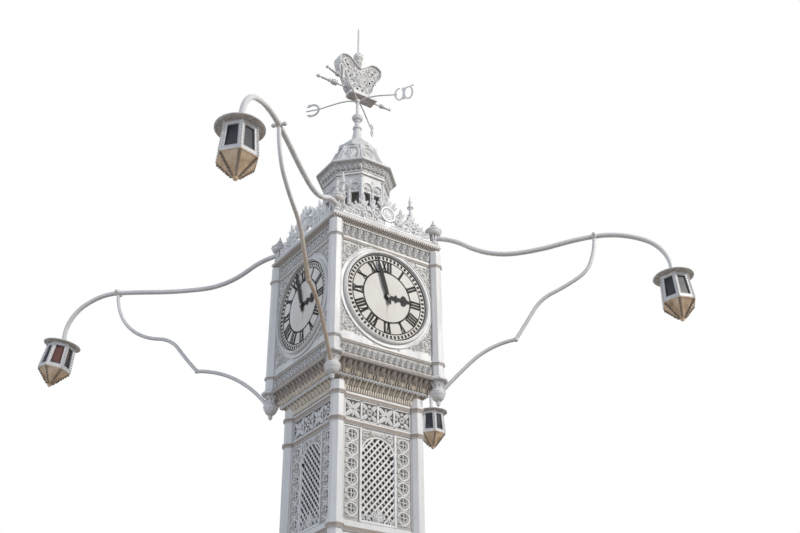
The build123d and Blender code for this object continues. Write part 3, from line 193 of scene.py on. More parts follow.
# Dial glasses: one round sheet of opal glass behind each bezel, clouded by its own dust film.
# Rust water runs down from the pin of the hands and has dried in one thin line to the foot of the sheet.
opal = Finish("opal_glass", specular=0.15)
opal_film = opal.noise(5, 5, (1, 1, 0.5))
across, back, height = (opal.place.part(axis) for axis in range(3))
drip = (1.0 - abs(across).between(0.003, 0.016)) + (1.0 - abs(back).between(0.003, 0.016))
drip = drip * height.between(5.58, 5.74) * (1.0 - height.between(5.76, 5.775))
milk = opal_film.shades((0.35, (0.77, 0.735, 0.67)), (0.7, (0.88, 0.855, 0.80)))
opal.feed("Base Color", milk.toward((0.36, 0.25, 0.17), drip * 0.6))
opal.feed("Roughness", opal_film * 0.2 + 0.55)
opal.onto("dial_glasses")


# Hands: two cut plates of sheet metal a dial, held on the arbor by their hubs and painted dull black.
# The paint is chalky, a little greyer where hands and weather have worn it.
hand_black = Finish("black_paint", specular=0.25)
hand_wear = hand_black.noise(30, 4)
hand_black.feed("Base Color", hand_wear.shades((0.35, (0.016, 0.015, 0.015)), (0.7, (0.045, 0.043, 0.042))))
hand_black.feed("Roughness", hand_wear * 0.2 + 0.55)
hand_black.onto(*[
    f"{kind}_hand_{side}" for kind in ("minute", "hour") for side in ("front", "right", "back", "left")
])


# Dial print: black paint fired on the glass, worn thin in spots. Two rings hold the minute squares.
# Roman hours stand between the middle ring and the inner one, all with their feet to the centre.
# Relief gathers raised work on the front face; cast repeats it down a row and round the sides.
LEAF_MARKS = (0.0, 0.3, 0.6, 0.85, 1.0)
SHORT_MARKS = (0.0, 0.35, 0.7, 1.0)


def grown(long, marks=LEAF_MARKS):
    """How far along a leaf its ribs stand."""
    return [long * s for s in marks]


def arc(centre, radius, start, end, steps):
    """Points along an arc, from one angle in degrees to the other."""
    angles = [math.radians(start + (end - start) * k / steps) for k in range(steps + 1)]
    return [(centre[0] + radius * math.cos(a), centre[1] + radius * math.sin(a)) for a in angles]


def ahead_of(path, k):
    """The way that a path runs at its point k."""
    return Vector(path[min(k + 1, len(path) - 1)]) - Vector(path[max(k - 1, 0)])


class Relief:
    """Raised work on the front face: every point is (across, out, up) in metres."""

    def __init__(self):
        self.points, self.faces = [], []

    def skin(self, rings, closed=True, caps=True):
        """Faces over a run of equal rings of points."""
        base, wide = len(self.points), len(rings[0])
        for ring in rings:
            self.points += [tuple(p) for p in ring]
        for row in range(len(rings) - 1):
            for k in range(wide if closed else wide - 1):
                a, b = base + row * wide + k, base + row * wide + (k + 1) % wide
                self.faces.append((a, b, b + wide, a + wide))
        if caps:
            self.faces.append(tuple(range(base, base + wide)))
            self.faces.append(tuple(range(base + (len(rings) - 1) * wide, base + len(rings) * wide)))

    def slab(self, outline, low, high):
        """A flat plate of that outline, from out=low to out=high."""
        self.skin([[(x, out, z) for x, z in outline] for out in (low, high)])

    def bar(self, across, up, low, high):
        """A flat bar between two places across and two heights."""
        (x0, x1), (z0, z1) = across, up
        self.slab([(x0, z0), (x1, z0), (x1, z1), (x0, z1)], low, high)

    def hoop(self, centre, radius, width, low, high, steps=96):
        """A flat ring in the face's plane."""
        inner, outer = (arc(centre, radius + side * width / 2, 0, 360, steps) for side in (-1, 1))
        self.skin([
            [(x0, low, z0), (x0, high, z0), (x1, high, z1), (x1, low, z1)]
            for (x0, z0), (x1, z1) in zip(inner, outer)
        ], caps=False)

    def tube(self, path, radii, sides=6, flat=1.0):
        """A rod along a path of points; flat squashes it against the face."""
        rings, rim = [], arc((0, 0), 1, 0, 360, sides)[:-1]
        for k, here in enumerate(path):
            ahead = ahead_of(path, k)
            out = Vector((0, 1, 0)) if abs(ahead.normalized().y) < 0.9 else Vector((1, 0, 0))
            side = ahead.cross(out).normalized()
            lift = side.cross(ahead).normalized() * flat
            r = radii[k] if isinstance(radii, (list, tuple)) else radii
            rings.append([Vector(here) + (side * c + lift * s) * r for c, s in rim])
        self.skin(rings)

    def rail(self, half, out, up, thick):
        """A level rod over the width of a face."""
        self.tube([(-half, out, up), (half, out, up)], thick)

    def leaf(self, path, width, height):
        """A pointed blade with a raised rib along a path of points."""
        rings = []
        for k, here in enumerate(path):
            t = k / (len(path) - 1)
            half = width / 2 * max(0.06, math.sin(math.pi * min(1.0, 0.18 + 0.82 * t)) ** 0.8)
            rib = height * max(0.15, math.sin(math.pi * min(1.0, 0.15 + 0.8 * t)))
            spot, up = Vector(here), Vector((0, 1, 0))
            side = ahead_of(path, k).cross(up)
            side = side.normalized() if side.length > 1e-9 else Vector((1, 0, 0))
            rings.append([
                spot - side * half, spot + up * rib * 0.35 - side * half * 0.5, spot + up * rib,
                spot + up * rib * 0.35 + side * half * 0.5, spot + side * half,
            ])
        self.skin(rings)

    def blade(self, root, lean, reaches, out, width, height, lift=0.0, bend=1):
        """A straight leaf that leans right of upright, its tip lifted off the face."""
        x, z = root
        self.leaf([
            (x + math.sin(lean) * r, out + lift * (r / reaches[-1]) ** bend, z + math.cos(lean) * r)
            for r in reaches
        ], width, height)

    def palmette(self, root, lean, long, spread, share, out, width, lift=0.0):
        """Three leaves from one root, the outer two shorter."""
        for side in (-spread, 0.0, spread):
            self.blade(root, lean + side, grown(long * (share if side else 1.0)), out, width, 0.009, lift)

    def ball(self, centre, radius, flat=1.0, steps=6):
        """A knob; flat squashes it against the face."""
        x0, out, z0 = centre
        rings = []
        for row in range(steps + 1):
            lat = math.pi * (row / steps - 0.5)
            r, h = max(0.02, math.cos(lat)) * radius, math.sin(lat) * radius
            rings.append([(x, out + deep * flat, z0 + h) for x, deep in arc((x0, 0.0), r, 0, 360, 8)[:-1]])
        self.skin(rings)

    def scroll(self, out, eye, radius, start, turns, thick, leaves=0, leaf=0.0, hand=1):
        """A scroll winding in to its eye, with leaves off its back; hand -1 winds clockwise."""
        def along(t):
            r, a = radius * (1 - 0.78 * t), start + hand * math.tau * turns * t
            return eye[0] + r * math.cos(a), eye[1] + r * math.sin(a), a

        steps = max(8, int(14 * turns))
        stem = [along(k / steps) for k in range(steps + 1)]
        radii = [thick * (1 - 0.45 * k / steps) for k in range(steps + 1)]
        self.tube([(x, out, z) for x, z, _ in stem], radii, 5, 0.9)
        self.ball((stem[-1][0], out, stem[-1][1]), thick * 1.5)
        for k in range(leaves):
            x, z, a = along((k + 0.5) / leaves * 0.62)
            self.leaf([
                (x + leaf * s * math.cos(a + hand * 0.9 * s), out + 0.3 * thick * s,
                 z + leaf * s * math.sin(a + hand * 0.9 * s)) for s in LEAF_MARKS
            ], leaf * 0.5, thick * 1.1)

    def bent(self, profile):
        """Moves every point out by what the profile says at its height."""
        self.points = [(x, out + profile(up), up) for x, out, up in self.points]

    def mirror(self):
        """Doubles what is there about the middle line."""
        count = len(self.points)
        self.points += [(-x, out, up) for x, out, up in self.points]
        self.faces += [tuple(count + k for k in reversed(face)) for face in self.faces[:]]

    def flip(self):
        """Doubles what is there about the level line through the origin."""
        count = len(self.points)
        self.points += [(x, out, -up) for x, out, up in self.points]
        self.faces += [tuple(count + k for k in reversed(face)) for face in self.faces[:]]


def repeat_tree():
    """Geometry nodes: a piece repeated along Step, each turned by Turn, moved to Centre, set round Sides."""
    tree = bpy.data.node_groups.new("repeat", "GeometryNodeTree")
    tree.interface.new_socket("Geometry", in_out="OUTPUT", socket_type="NodeSocketGeometry")
    for name, kind in (
        ("Geometry", "Geometry"), ("Count", "Int"), ("Step", "Vector"), ("Turn", "Vector"),
        ("Centre", "Vector"), ("Sides", "Int"), ("Finish", "Material"),
    ):
        tree.interface.new_socket(name, in_out="INPUT", socket_type=f"NodeSocket{kind}")
    start = Flow(tree)
    given = {out.name: Flow(tree, out) for out in tree.nodes.new("NodeGroupInput").outputs}

    def shape(kind, **inputs):
        return start.node(f"GeometryNode{kind}", {}, inputs)

    index = shape("InputIndex")
    turned = start.node("ShaderNodeVectorMath", {"operation": "SCALE"}, {0: given["Turn"], "Scale": index})
    spots = shape("MeshLine", Count=given["Count"], Offset=given["Step"])
    row = shape("InstanceOnPoints", Points=spots, Instance=given["Geometry"], Rotation=turned)
    moved = shape("Transform", Geometry=shape("RealizeInstances", Geometry=row), Translation=given["Centre"])
    about = start.node("ShaderNodeCombineXYZ", {}, {"Z": index * (math.tau / given["Sides"])})
    hub = shape("MeshLine", Count=given["Sides"], Offset=(0.0, 0.0, 0.0))
    round_about = shape("InstanceOnPoints", Points=hub, Instance=moved, Rotation=about)
    solid = shape("RealizeInstances", Geometry=round_about)
    painted = shape("SetMaterial", Geometry=solid, Material=given["Finish"])
    tree.links.new(painted.out, tree.nodes.new("NodeGroupOutput").inputs[0])
    return tree


repeat = repeat_tree()


def cast(
    name, relief, finish, body="tower", slot="white_paint", count=1, step=(0, 0, 0), turn=(0, 0, 0),
    centre=(0, 0, 0), sides=4, spin=0, places=(),
):
    """Turns relief into one piece of its body. Step and centre are across, out, up; places copy the piece."""
    mesh = bpy.data.meshes.new(name)
    mesh.from_pydata([(x, -out, z) for x, out, z in relief.points], [], relief.faces)
    shaped = bmesh.new()
    shaped.from_mesh(mesh)
    bmesh.ops.recalc_face_normals(shaped, faces=shaped.faces)
    shaped.to_mesh(mesh)
    shaped.free()
    piece = bpy.data.objects.new(name, mesh)
    bpy.context.scene.collection.objects.link(piece)
    repeated = piece.modifiers.new("repeat", "NODES")
    repeated.node_group = repeat
    start = [centre[k] - step[k] * (count - 1) / 2 for k in range(3)]
    wanted = {
        "Count": count, "Step": (step[0], -step[1], step[2]), "Turn": turn,
        "Centre": (start[0], -start[1], start[2]), "Sides": sides, "Finish": finish.material,
    }
    for socket in repeat.interface.items_tree:
        if socket.in_out == "INPUT" and socket.name in wanted:
            repeated[socket.identifier] = wanted[socket.name]
    done = bpy.data.meshes.new_from_object(piece.evaluated_get(bpy.context.evaluated_depsgraph_get()))
    piece.modifiers.clear()
    piece.data = done
    done.name = name
    if places:
        whole = bmesh.new()
        for place in places:
            copy = done.copy()
            copy.transform(place @ Matrix.Rotation(math.radians(spin), 4, "Z"))
            whole.from_mesh(copy)
            bpy.data.meshes.remove(copy)
        whole.to_mesh(done)
        whole.free()
    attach(piece, body)
    return piece


DIAL_UP = 5.778
PRINT = (0.5081, 0.5088)
ink = Finish("dial_ink", 0.6, 0.2)
ink.feed("Base Color", ink.noise(24, 5).shades(
    (0.3, (0.012, 0.011, 0.011)), (0.66, (0.03, 0.028, 0.027)), (0.78, (0.20, 0.19, 0.17))
))
dial_rings = Relief()
for reach, line in ((0.384, 0.0115), (0.335, 0.009), (0.231, 0.0135)):
    dial_rings.hoop((0, DIAL_UP), reach, line, *PRINT)
cast("dial_rings", dial_rings, ink, slot="black_paint")
square = Relief()
square.slab([(-0.0095, 0.346), (0.0095, 0.346), (0.0105, 0.374), (-0.0105, 0.374)], *PRINT)
cast(
    "minute_squares", square, ink, slot="black_paint",
    count=60, turn=(0, math.tau / 60, 0), centre=(0, 0, DIAL_UP),
)

BROAD, FINE, SERIF = 0.024, 0.0105, 0.003
GLYPHS = {
    "I": (0.026, ((0.0, 0.0, 0.0205),)),
    "V": (0.046, ((0.0, -0.014, BROAD), (0.0, 0.016, FINE))),
    "X": (0.046, ((0.014, -0.014, BROAD), (-0.016, 0.016, FINE))),
}
FOOT, HEAD = 0.240, 0.326
numerals = Relief()
for hour, text in enumerate(("XII", "I", "II", "III", "IIII", "V", "VI", "VII", "VIII", "IX", "X", "XI")):
    wide, a = sum(GLYPHS[letter][0] for letter in text), math.tau * hour / 12
    at, strokes = -wide / 2, []
    for letter in text:
        glyph, lines = GLYPHS[letter]
        mid = at + glyph / 2
        for foot, head, thick in lines:
            strokes.append([
                (mid + foot - thick / 2, FOOT), (mid + head - thick / 2, HEAD),
                (mid + head + thick / 2, HEAD), (mid + foot + thick / 2, FOOT),
            ])
        at += glyph
    end = wide / 2 - 0.002
    strokes += [
        [(-end, z - SERIF), (end, z - SERIF), (end, z + SERIF), (-end, z + SERIF)] for z in (FOOT, HEAD)
    ]
    for corners in strokes:
        numerals.slab([
            (x * math.cos(a) + z * math.sin(a), z * math.cos(a) - x * math.sin(a) + DIAL_UP)
            for x, z in corners
        ], *PRINT)
cast("numerals", numerals, ink, slot="black_paint")


# Dial surrounds: a cast roll lies outside each bezel, and scrolled foliage fills the corners of the plate.
# All of it is one casting with the wall, screwed on from behind; the ground between is painted dark as shade.
surround = Relief()
surround.hoop((0, DIAL_UP), 0.452, 0.008, 0.4995, 0.512)
surround.hoop((0, DIAL_UP), 0.4035, 0.005, 0.529, 0.535)
cast("bezel_rolls", surround, cast_white)

GROUND, GROUND_WEDGES = (0.5004, 0.5012), 12
PLATE_HALF, PLATE_TALL = 0.446, 0.406
SPANDREL_FACE, RIM = 0.5035, 0.462
spandrel = Relief()
for row in (
    ((0.382, 0.334), 0.050, -2.2, 1.5, 0.0075, 6, 0.034, 1),
    ((0.418, 0.246), 0.026, 1.9, 1.2, 0.0055, 4, 0.022, -1),
    ((0.292, 0.382), 0.025, -2.9, 1.2, 0.0055, 4, 0.022, 1),
    ((0.428, 0.178), 0.016, 1.9, 1.1, 0.0045, 2, 0.016, -1),
    ((0.212, 0.402), 0.014, -2.9, 1.1, 0.0045, 2, 0.016, 1),
    ((0.428, 0.386), 0.018, 0.8, 1.0, 0.005, 3, 0.018, 1),
):
    spandrel.scroll(SPANDREL_FACE, *row)
for a in (0.25, 0.62, 0.80, 1.0, 1.32):
    long = 0.05 * (1 - abs(a - 0.79) * 0.9)
    spandrel.blade(
        (0, 0), math.pi / 2 - a, [RIM + long * s for s in (0.0, 0.4, 0.75, 1.0)], SPANDREL_FACE, 0.020, 0.009
    )
for x, z, r in (
    (0.43, 0.30, 0.008), (0.345, 0.392, 0.008), (0.44, 0.14, 0.006),
    (0.17, 0.412, 0.006), (0.382, 0.334, 0.014),
):
    spandrel.ball((x, SPANDREL_FACE, z), r, 0.8)
spandrel.mirror()
spandrel.flip()
cast("dial_spandrels", spandrel, cast_white, centre=(0, 0, DIAL_UP))
ground = Relief()
for k in range(GROUND_WEDGES):
    wedge = [0.25 + 0.83 * (k + s) / GROUND_WEDGES for s in (0, 1)]
    corners = [(RIM + 0.001, a) for a in wedge]
    corners += [(min(PLATE_HALF / math.cos(a), PLATE_TALL / math.sin(a)), a) for a in reversed(wedge)]
    ground.slab([(r * math.cos(a), r * math.sin(a)) for r, a in corners], *GROUND)
ground.mirror()
ground.flip()
# The ground plates behind the foliage are painted grey-brown, as the shade between the scrolls.
spandrel_painted_shade = white_paint("spandrel_painted_shade", 1.3, (0.50, 0.475, 0.44))
cast("spandrel_grounds", ground, spandrel_painted_shade, centre=(0, 0, DIAL_UP))


# Head friezes: cast strips of upright leaves over and under each dial, with curled stems between them.
# They are screwed into the head's wall; the bed behind the leaves is painted dark as shade.
hollow_shade_bed = white_paint("painted_shade_in_the_hollows", 1.2, (0.33, 0.31, 0.285))
head_bed = Relief()
for up in ((6.244, 6.350), (5.176, 5.268)):
    head_bed.bar((-0.448, 0.448), up, *GROUND)
cast("frieze_beds", head_bed, hollow_shade_bed)
HEAD_BED, HEAD_LOW, SILL_LOW = 0.5025, 6.246, 5.176
frieze_leaf = Relief()
for lean, rise, wide in ((0.0, 0.098, 0.022), (0.45, 0.074, 0.017), (0.95, 0.046, 0.014)):
    frieze_leaf.blade((0, HEAD_LOW + 0.008), lean, grown(rise), HEAD_BED, wide, 0.009, 0.010, 2)
frieze_leaf.scroll(HEAD_BED, (0.026, HEAD_LOW + 0.090), 0.010, -2.0, 1.0, 0.0035)
frieze_leaf.scroll(HEAD_BED, (0.024, HEAD_LOW + 0.018), 0.011, 2.2, 0.9, 0.0035)
frieze_leaf.mirror()
frieze_leaf.ball((0, HEAD_BED + 0.004, HEAD_LOW + 0.012), 0.008)
cast("head_frieze", frieze_leaf, cast_white, count=14, step=(0.0635, 0, 0))
sill_leaf = Relief()
for lean, rise, wide in ((0.0, 0.078, 0.020), (0.5, 0.060, 0.015), (1.0, 0.036, 0.012)):
    sill_leaf.blade((0, SILL_LOW + 0.006), lean, grown(rise, SHORT_MARKS), HEAD_BED, wide, 0.008, 0.008, 2)
sill_leaf.scroll(HEAD_BED, (0.022, SILL_LOW + 0.072), 0.009, -2.0, 1.0, 0.0032)
sill_leaf.mirror()
cast("sill_frieze", sill_leaf, cast_white, count=16, step=(0.0555, 0, 0))


# Upper cornice: close ribs cast under the eaves and a roped edge over them, on a roll along the wall.
# The gutter behind leaks over the edge, so the ribs are stained brown; the soffit is painted nearly black as
# shade.
cornice_brown = white_paint("stained_cornice_paint", 0.85, (0.69, 0.655, 0.61))
soffit_painted_shade = white_paint("soffit_painted_shade", 1.6, (0.20, 0.165, 0.13))


def under_eaves(relief, wall_span, edge_span, wall_section, edge_section):
    """A sloped bar under the eaves, from its section at the wall to the one at the edge."""
    relief.skin([
        [(x0, *low), (x1, *low), (x1, *high), (x0, *high)]
        for (x0, x1), (low, high) in ((wall_span, wall_section), (edge_span, edge_section))
    ])


EAVES_HALF = 0.53
rib, under = Relief(), Relief()
under_eaves(
    rib, (-0.0105, -0.0005), (0.0025, 0.0125),
    ((0.510, 6.3640), (0.5005, 6.374)),
    ((0.5435, 6.3890), (0.5435, 6.4005)),
)
under_eaves(
    under, (-EAVES_HALF, EAVES_HALF), (-EAVES_HALF, EAVES_HALF),
    ((0.510, 6.3715), (0.5005, 6.376)),
    ((0.5430, 6.3955), (0.5430, 6.4010)),
)
cast("cornice_soffit", under, soffit_painted_shade)
cast("cornice_ribs", rib, cornice_brown, count=50, step=(0.0214, 0, 0))
rope = Relief()
rope.tube([(-0.007, 0.5445, 6.405), (0.0, 0.5470, 6.4125), (0.007, 0.5445, 6.420)], [0.002, 0.0042, 0.002], 5)
cast("cornice_rope", rope, cornice_brown, count=100, step=(0.0107, 0, 0))
moulding = Relief()
moulding.rail(EAVES_HALF, 0.5055, 6.352, 0.006)
moulding.rail(EAVES_HALF, 0.5445, 6.4025, 0.0035)
cast("cornice_roll", moulding, cornice_brown)


# Corbel: two coves of cast iron carry the head, fluted below and leafed above, with leaf beads between them.
# The body behind the leaves is painted near black as shade, and only what stands out is pale.
corbel_grime = white_paint("grimy_corbel_paint", 1.0, (0.84, 0.76, 0.64))
# The bulbs at the top of the upper cove are painted dark grey-brown, as the shadow under the head's edge.
corbel_bulb_shadow = white_paint("corbel_bulb_shadow", 1.0, (0.30, 0.265, 0.25))
white_paint("corbel_hollows_painted_shade", 2.0, (0.13, 0.10, 0.075)).onto("corbel")


def lobe(relief, half, profile, across=0.0, depth=0.7, steps=6):
    """A rounded lobe on a cove: rings of height, how far out, and shares of its width and depth."""
    relief.skin([
        [(across + x * wide, out + depth * y * deep, up) for x, y in arc((0, 0), half, 0, 180, steps)]
        for up, out, wide, deep in profile
    ], closed=False, caps=False)


def on_cove(up):
    """How far the upper cove stands out at that height."""
    s = min(max((up - 5.033) / 0.100, 0.0), 1.0)
    return 0.440 + 0.070 * s * s


flute, gadroon, bulb, acanthus, bead = Relief(), Relief(), Relief(), Relief(), Relief()
lobe(flute, 0.0078, (
    (4.922, 0.380, 0.6, 0.4), (4.930, 0.382, 1.0, 1.0), (4.948, 0.385, 1.0, 1.2), (4.964, 0.389, 0.7, 0.5),
))
cast("corbel_flutes", flute, corbel_grime, count=36, step=(0.0213, 0, 0))
lobe(gadroon, 0.0125, (
    (4.956, 0.387, 0.3, 0.2), (4.968, 0.390, 0.8, 0.8), (4.984, 0.399, 1.0, 1.2), (5.000, 0.413, 0.9, 1.0),
    (5.012, 0.430, 0.5, 0.4),
))
for side in (-0.021, 0.021):
    edge = ((1.0, 0.392, 4.962), (1.05, 0.399, 4.978), (1.05, 0.411, 4.994), (1.0, 0.426, 5.009))
    gadroon.leaf([(side * share, out, up) for share, out, up in edge], 0.009, 0.009)
cast("corbel_gadroons", gadroon, corbel_grime, count=14, step=(0.0545, 0, 0))
LEAFED = dict(count=9, step=(0.1045, 0, 0), centre=(-0.0261, 0, 0))
for across, half in ((0.0, 0.026), (0.0522, 0.019)):
    lobe(bulb, half, [(up, on_cove(up), wide, deep) for up, wide, deep in (
        (5.068, 0.35, 0.3), (5.078, 0.75, 0.8), (5.092, 1.0, 1.1), (5.108, 1.0, 1.0), (5.124, 0.8, 0.55),
        (5.133, 0.4, 0.1),
    )], across, 0.8, 8)
cast("corbel_bulbs", bulb, corbel_bulb_shadow, **LEAFED)
for lean, rise, wide in (
    (0.0, 0.050, 0.019), (0.5, 0.048, 0.013), (-0.5, 0.048, 0.013),
    (0.95, 0.042, 0.011), (-0.95, 0.042, 0.011),
):
    steps = (0.0, 0.25, 0.5, 0.75, 0.92, 1.0)
    ups = [5.034 + math.cos(lean) * rise * s for s in steps]
    acanthus.leaf([
        (math.sin(lean) * rise * s, on_cove(up) + 0.008 * s, up) for s, up in zip(steps, ups)
    ], wide, 0.011)
for side, tall in ((-0.052, 0.045), (-0.030, 0.070), (0.030, 0.070), (0.052, 0.045)):
    acanthus.leaf([(side, on_cove(up) + 0.003, up) for up in [5.036 + r for r in grown(tall)]], 0.014, 0.010)
cast("corbel_acanthus", acanthus, corbel_grime, **LEAFED)
bead.ball((0.0075, 0.441, 5.024), 0.0095, 1.0, 4)
for side in (-0.011, -0.002):
    bead.leaf([
        (side + 0.004 * s, 0.4375 + 0.004 * s, 5.006 + 0.028 * s) for s in (0.0, 0.4, 0.8, 1.0)
    ], 0.012, 0.012)
cast("corbel_beads", bead, cast_white, count=30, step=(0.0296, 0, 0))


# Bands: each moulding round shaft and head is reeded along its foot, brown where drips hang and dry.
# The reeds are cast with the band. They follow it over the walls and round the collars of the columns.
band_brown = white_paint("stained_reed_paint", 1.1, (0.47, 0.40, 0.345))


def strip_along(relief, path, section):
    """Runs a section of (out, up) corners along a level path of (across, out) points."""
    rings = []
    for k, (x, out) in enumerate(path):
        (x0, out0), (x1, out1) = path[max(k - 1, 0)], path[min(k + 1, len(path) - 1)]
        long = math.hypot(x1 - x0, out1 - out0)
        nx, no = -(out1 - out0) / long, (x1 - x0) / long
        rings.append([(x + nx * away, out + no * away, up) for away, up in section])
    relief.skin(rings)


def reed_bed(low, high):
    """The section of the stained bed behind the reeds."""
    return [(-0.0006, low), (0.0008, low), (0.0008, high), (-0.0006, high)]


def reeded(relief, axis, face, apothem, low, high, count):
    """Reeds and their stained bed on one band, over the wall and round the collar at its right end."""
    wall_end = axis - apothem
    collar = arc((axis, axis), apothem / math.cos(math.pi / 8), 157.5, -67.5, 5)
    pitch = (high - low) / count
    for path in ([(-wall_end, face), (wall_end, face)], [(wall_end, face), *collar, (face, wall_end)]):
        strip_along(relief, path, reed_bed(low, high))
        for k in range(count):
            strip_along(relief, path, arc((0.0006, low + pitch * (k + 0.5)), 0.34 * pitch, 0, 360, 6)[:-1])


reeds = Relief()
for axis, face, apothem, low, high, count in (
    (0.369, 0.385, 0.064, 3.826, 3.856, 3), (0.369, 0.383, 0.061, 4.656, 4.684, 3),
    (0.369, 0.383, 0.061, 4.876, 4.901, 3), (0.500, 0.513, 0.061, 5.278, 5.292, 2),
    (0.500, 0.513, 0.061, 6.206, 6.220, 2),
):
    reeded(reeds, axis, face, apothem, low, high, count)
EDGE_HALF, EDGE_OUT = 0.43, 0.538
strip_along(reeds, [(side * EDGE_HALF, EDGE_OUT) for side in (-1, 1)], reed_bed(5.1435, 5.158))
for up in (5.1465, 5.152):
    reeds.rail(EDGE_HALF, EDGE_OUT + 0.0005, up, 0.0024)
cast("band_reeds", reeds, band_brown)


# Shaft frieze: four square panels a side, cast in one strip, crossed leaves and quatrefoil rosettes in turn.
# Each has a raised rim and stands on a sunk bed painted nearly black as shade.
PANEL_PITCH, PANEL_HALF, PANEL_UP, PANEL_OUT = 0.1535, 0.076, (4.704, 4.866), (0.3685, 0.376)
RIM_WIDE, RIM_TALL = 0.0065, 0.007
panel_painted_shade = Finish("panel_painted_shade", 0.85)
panel_shade_mottle = panel_painted_shade.noise(30, 4)
panel_painted_shade.feed("Base Color", panel_shade_mottle.shades((0.35, (0.085, 0.078, 0.070)), (0.7, (0.20, 0.18, 0.155))))
panel_rim, panel_bed, crossed, rosette = Relief(), Relief(), Relief(), Relief()
for foot in (PANEL_UP[0], PANEL_UP[1] - RIM_TALL):
    panel_rim.bar((-PANEL_HALF, PANEL_HALF), (foot, foot + RIM_TALL), *PANEL_OUT)
for edge in (PANEL_HALF - RIM_WIDE, -PANEL_HALF):
    panel_rim.bar((edge, edge + RIM_WIDE), PANEL_UP, *PANEL_OUT)
panel_bed.bar((-0.070, 0.070), (4.710, 4.860), 0.3692, 0.3698)
cast("frieze_panel_beds", panel_bed, panel_painted_shade, count=4, step=(PANEL_PITCH, 0, 0))
cast("frieze_rims", panel_rim, cast_white, count=4, step=(PANEL_PITCH, 0, 0))
for k in range(8):
    long, wide = (0.094, 0.036) if k % 2 else (0.066, 0.019)
    reaches = [0.008] + grown(long, (0.35, 0.62, 0.85, 1.0))
    crossed.blade((0, 0), math.tau * k / 8, reaches, 0.3702, wide, 0.006)
for k in range(5):
    rosette.blade((0, 0), math.tau * k / 5, (0.008, 0.016, 0.024, 0.029), 0.3715, 0.026, 0.008)
for k in range(4):
    lean = math.tau * k / 4
    run, rise = math.sin(lean), math.cos(lean)
    rosette.blade((0, 0), lean + math.pi / 4, (0.032, 0.050, 0.070, 0.084, 0.094), 0.3700, 0.034, 0.007)
    rosette.blade((0, 0), lean, (0.040, 0.050, 0.060, 0.067), 0.3700, 0.022, 0.006)
    for beside in (-0.013, 0.013):
        rosette.ball((0.046 * run + beside * rise, 0.3705, 0.046 * rise - beside * run), 0.0065, 0.9, 4)
for name, leaves, hand in (("frieze_leaves", crossed, -1), ("frieze_rosettes", rosette, 1)):
    middle = (hand * 0.0768, 0, 4.785)
    cast(name, leaves, cast_white, count=2, step=(2 * PANEL_PITCH, 0, 0), centre=middle)


# Lattice stage: a cast wall with strips of knotted scrollwork beside each arch and leaf sprays over it.
# A leafy sill closes the arch below, and a small black latch on its rim holds the lattice shut.
STAGE_FACE = 0.3685
BED = (0.3690, 0.3694)
ARCH_MID = 4.432
FRET_PITCH, FRET_ACROSS = 0.1165, 0.2365
WEDGES, WEDGE = 24, 7.5
# Near-black brown paint, as the shadow inside the holes of the strips and behind the grilles.
hollow = Finish("hollow_shadow", 0.9)
hollow_shadow_mottle = hollow.noise(40, 3)
hollow.feed("Base Color", hollow_shadow_mottle.shades((0.35, (0.030, 0.025, 0.022)), (0.7, (0.11, 0.085, 0.065))))


def panel_edge(a):
    """Where a ray from the arch's middle meets the edge of the panel over it."""
    rise = 0.202 if abs(math.cos(a)) < 0.74 else 0.202 * math.sin(a) / 0.6726
    return min(max(0.30 * math.cos(a), -0.154), 0.154), ARCH_MID + rise


# The beds behind the strips and over the arch are painted grey-brown, as the shade between the raised work.
strip_bed = Relief()
strip_bed.bar((0.1630, 0.3085), (3.906, 4.635), *BED)
strip_bed.mirror()
for k in range(WEDGES):
    inner = arc((0, ARCH_MID), 0.152, WEDGE * k, WEDGE * (k + 1), 1)
    strip_bed.slab(inner + [panel_edge(math.radians(WEDGE * (k + s))) for s in (1, 0)], *BED)
cast("lattice_beds", strip_bed, white_paint("strip_painted_shade", 1.3, (0.46, 0.445, 0.42)))

fret = Relief()
fret.tube([
    (0.051 * math.cos(a) * (1.0 + 0.10 * math.sin(a)), 0.371, 0.004 + 0.049 * math.sin(a))
    for a in [math.radians(-150 + 12 * k) for k in range(28)]
], 0.0088)
fret.ball((-0.040, 0.372, -0.028), 0.011, 0.9)
fret.tube([
    (-0.052, 0.371, -0.050), (-0.020, 0.3715, -0.054), (0.022, 0.3715, -0.050), (0.050, 0.371, -0.054)
], [0.005, 0.007, 0.007, 0.004], 5)
for x0, z0, x1, z1 in ((-0.036, 0.012, 0.036, 0.012), (0.0, -0.022, 0.0, 0.046)):
    middle = (0.5 * (x0 + x1), 0.3725, 0.5 * (z0 + z1))
    fret.tube([(x0, 0.3705, z0), middle, (x1, 0.3705, z1)], [0.004, 0.0065, 0.004], 5)
for x, z in arc((0, 0), 1, 45, 315, 3):
    fret.leaf([(0.050 * s * x, 0.3695, 0.012 + 0.044 * s * z) for s in (0.55, 0.75, 0.9, 1.02)], 0.014, 0.006)
for x, z in ((0.012, -0.038), (-0.016, -0.040), (0.036, -0.036)):
    fret.ball((x, 0.3705, z), 0.0062, 0.8)
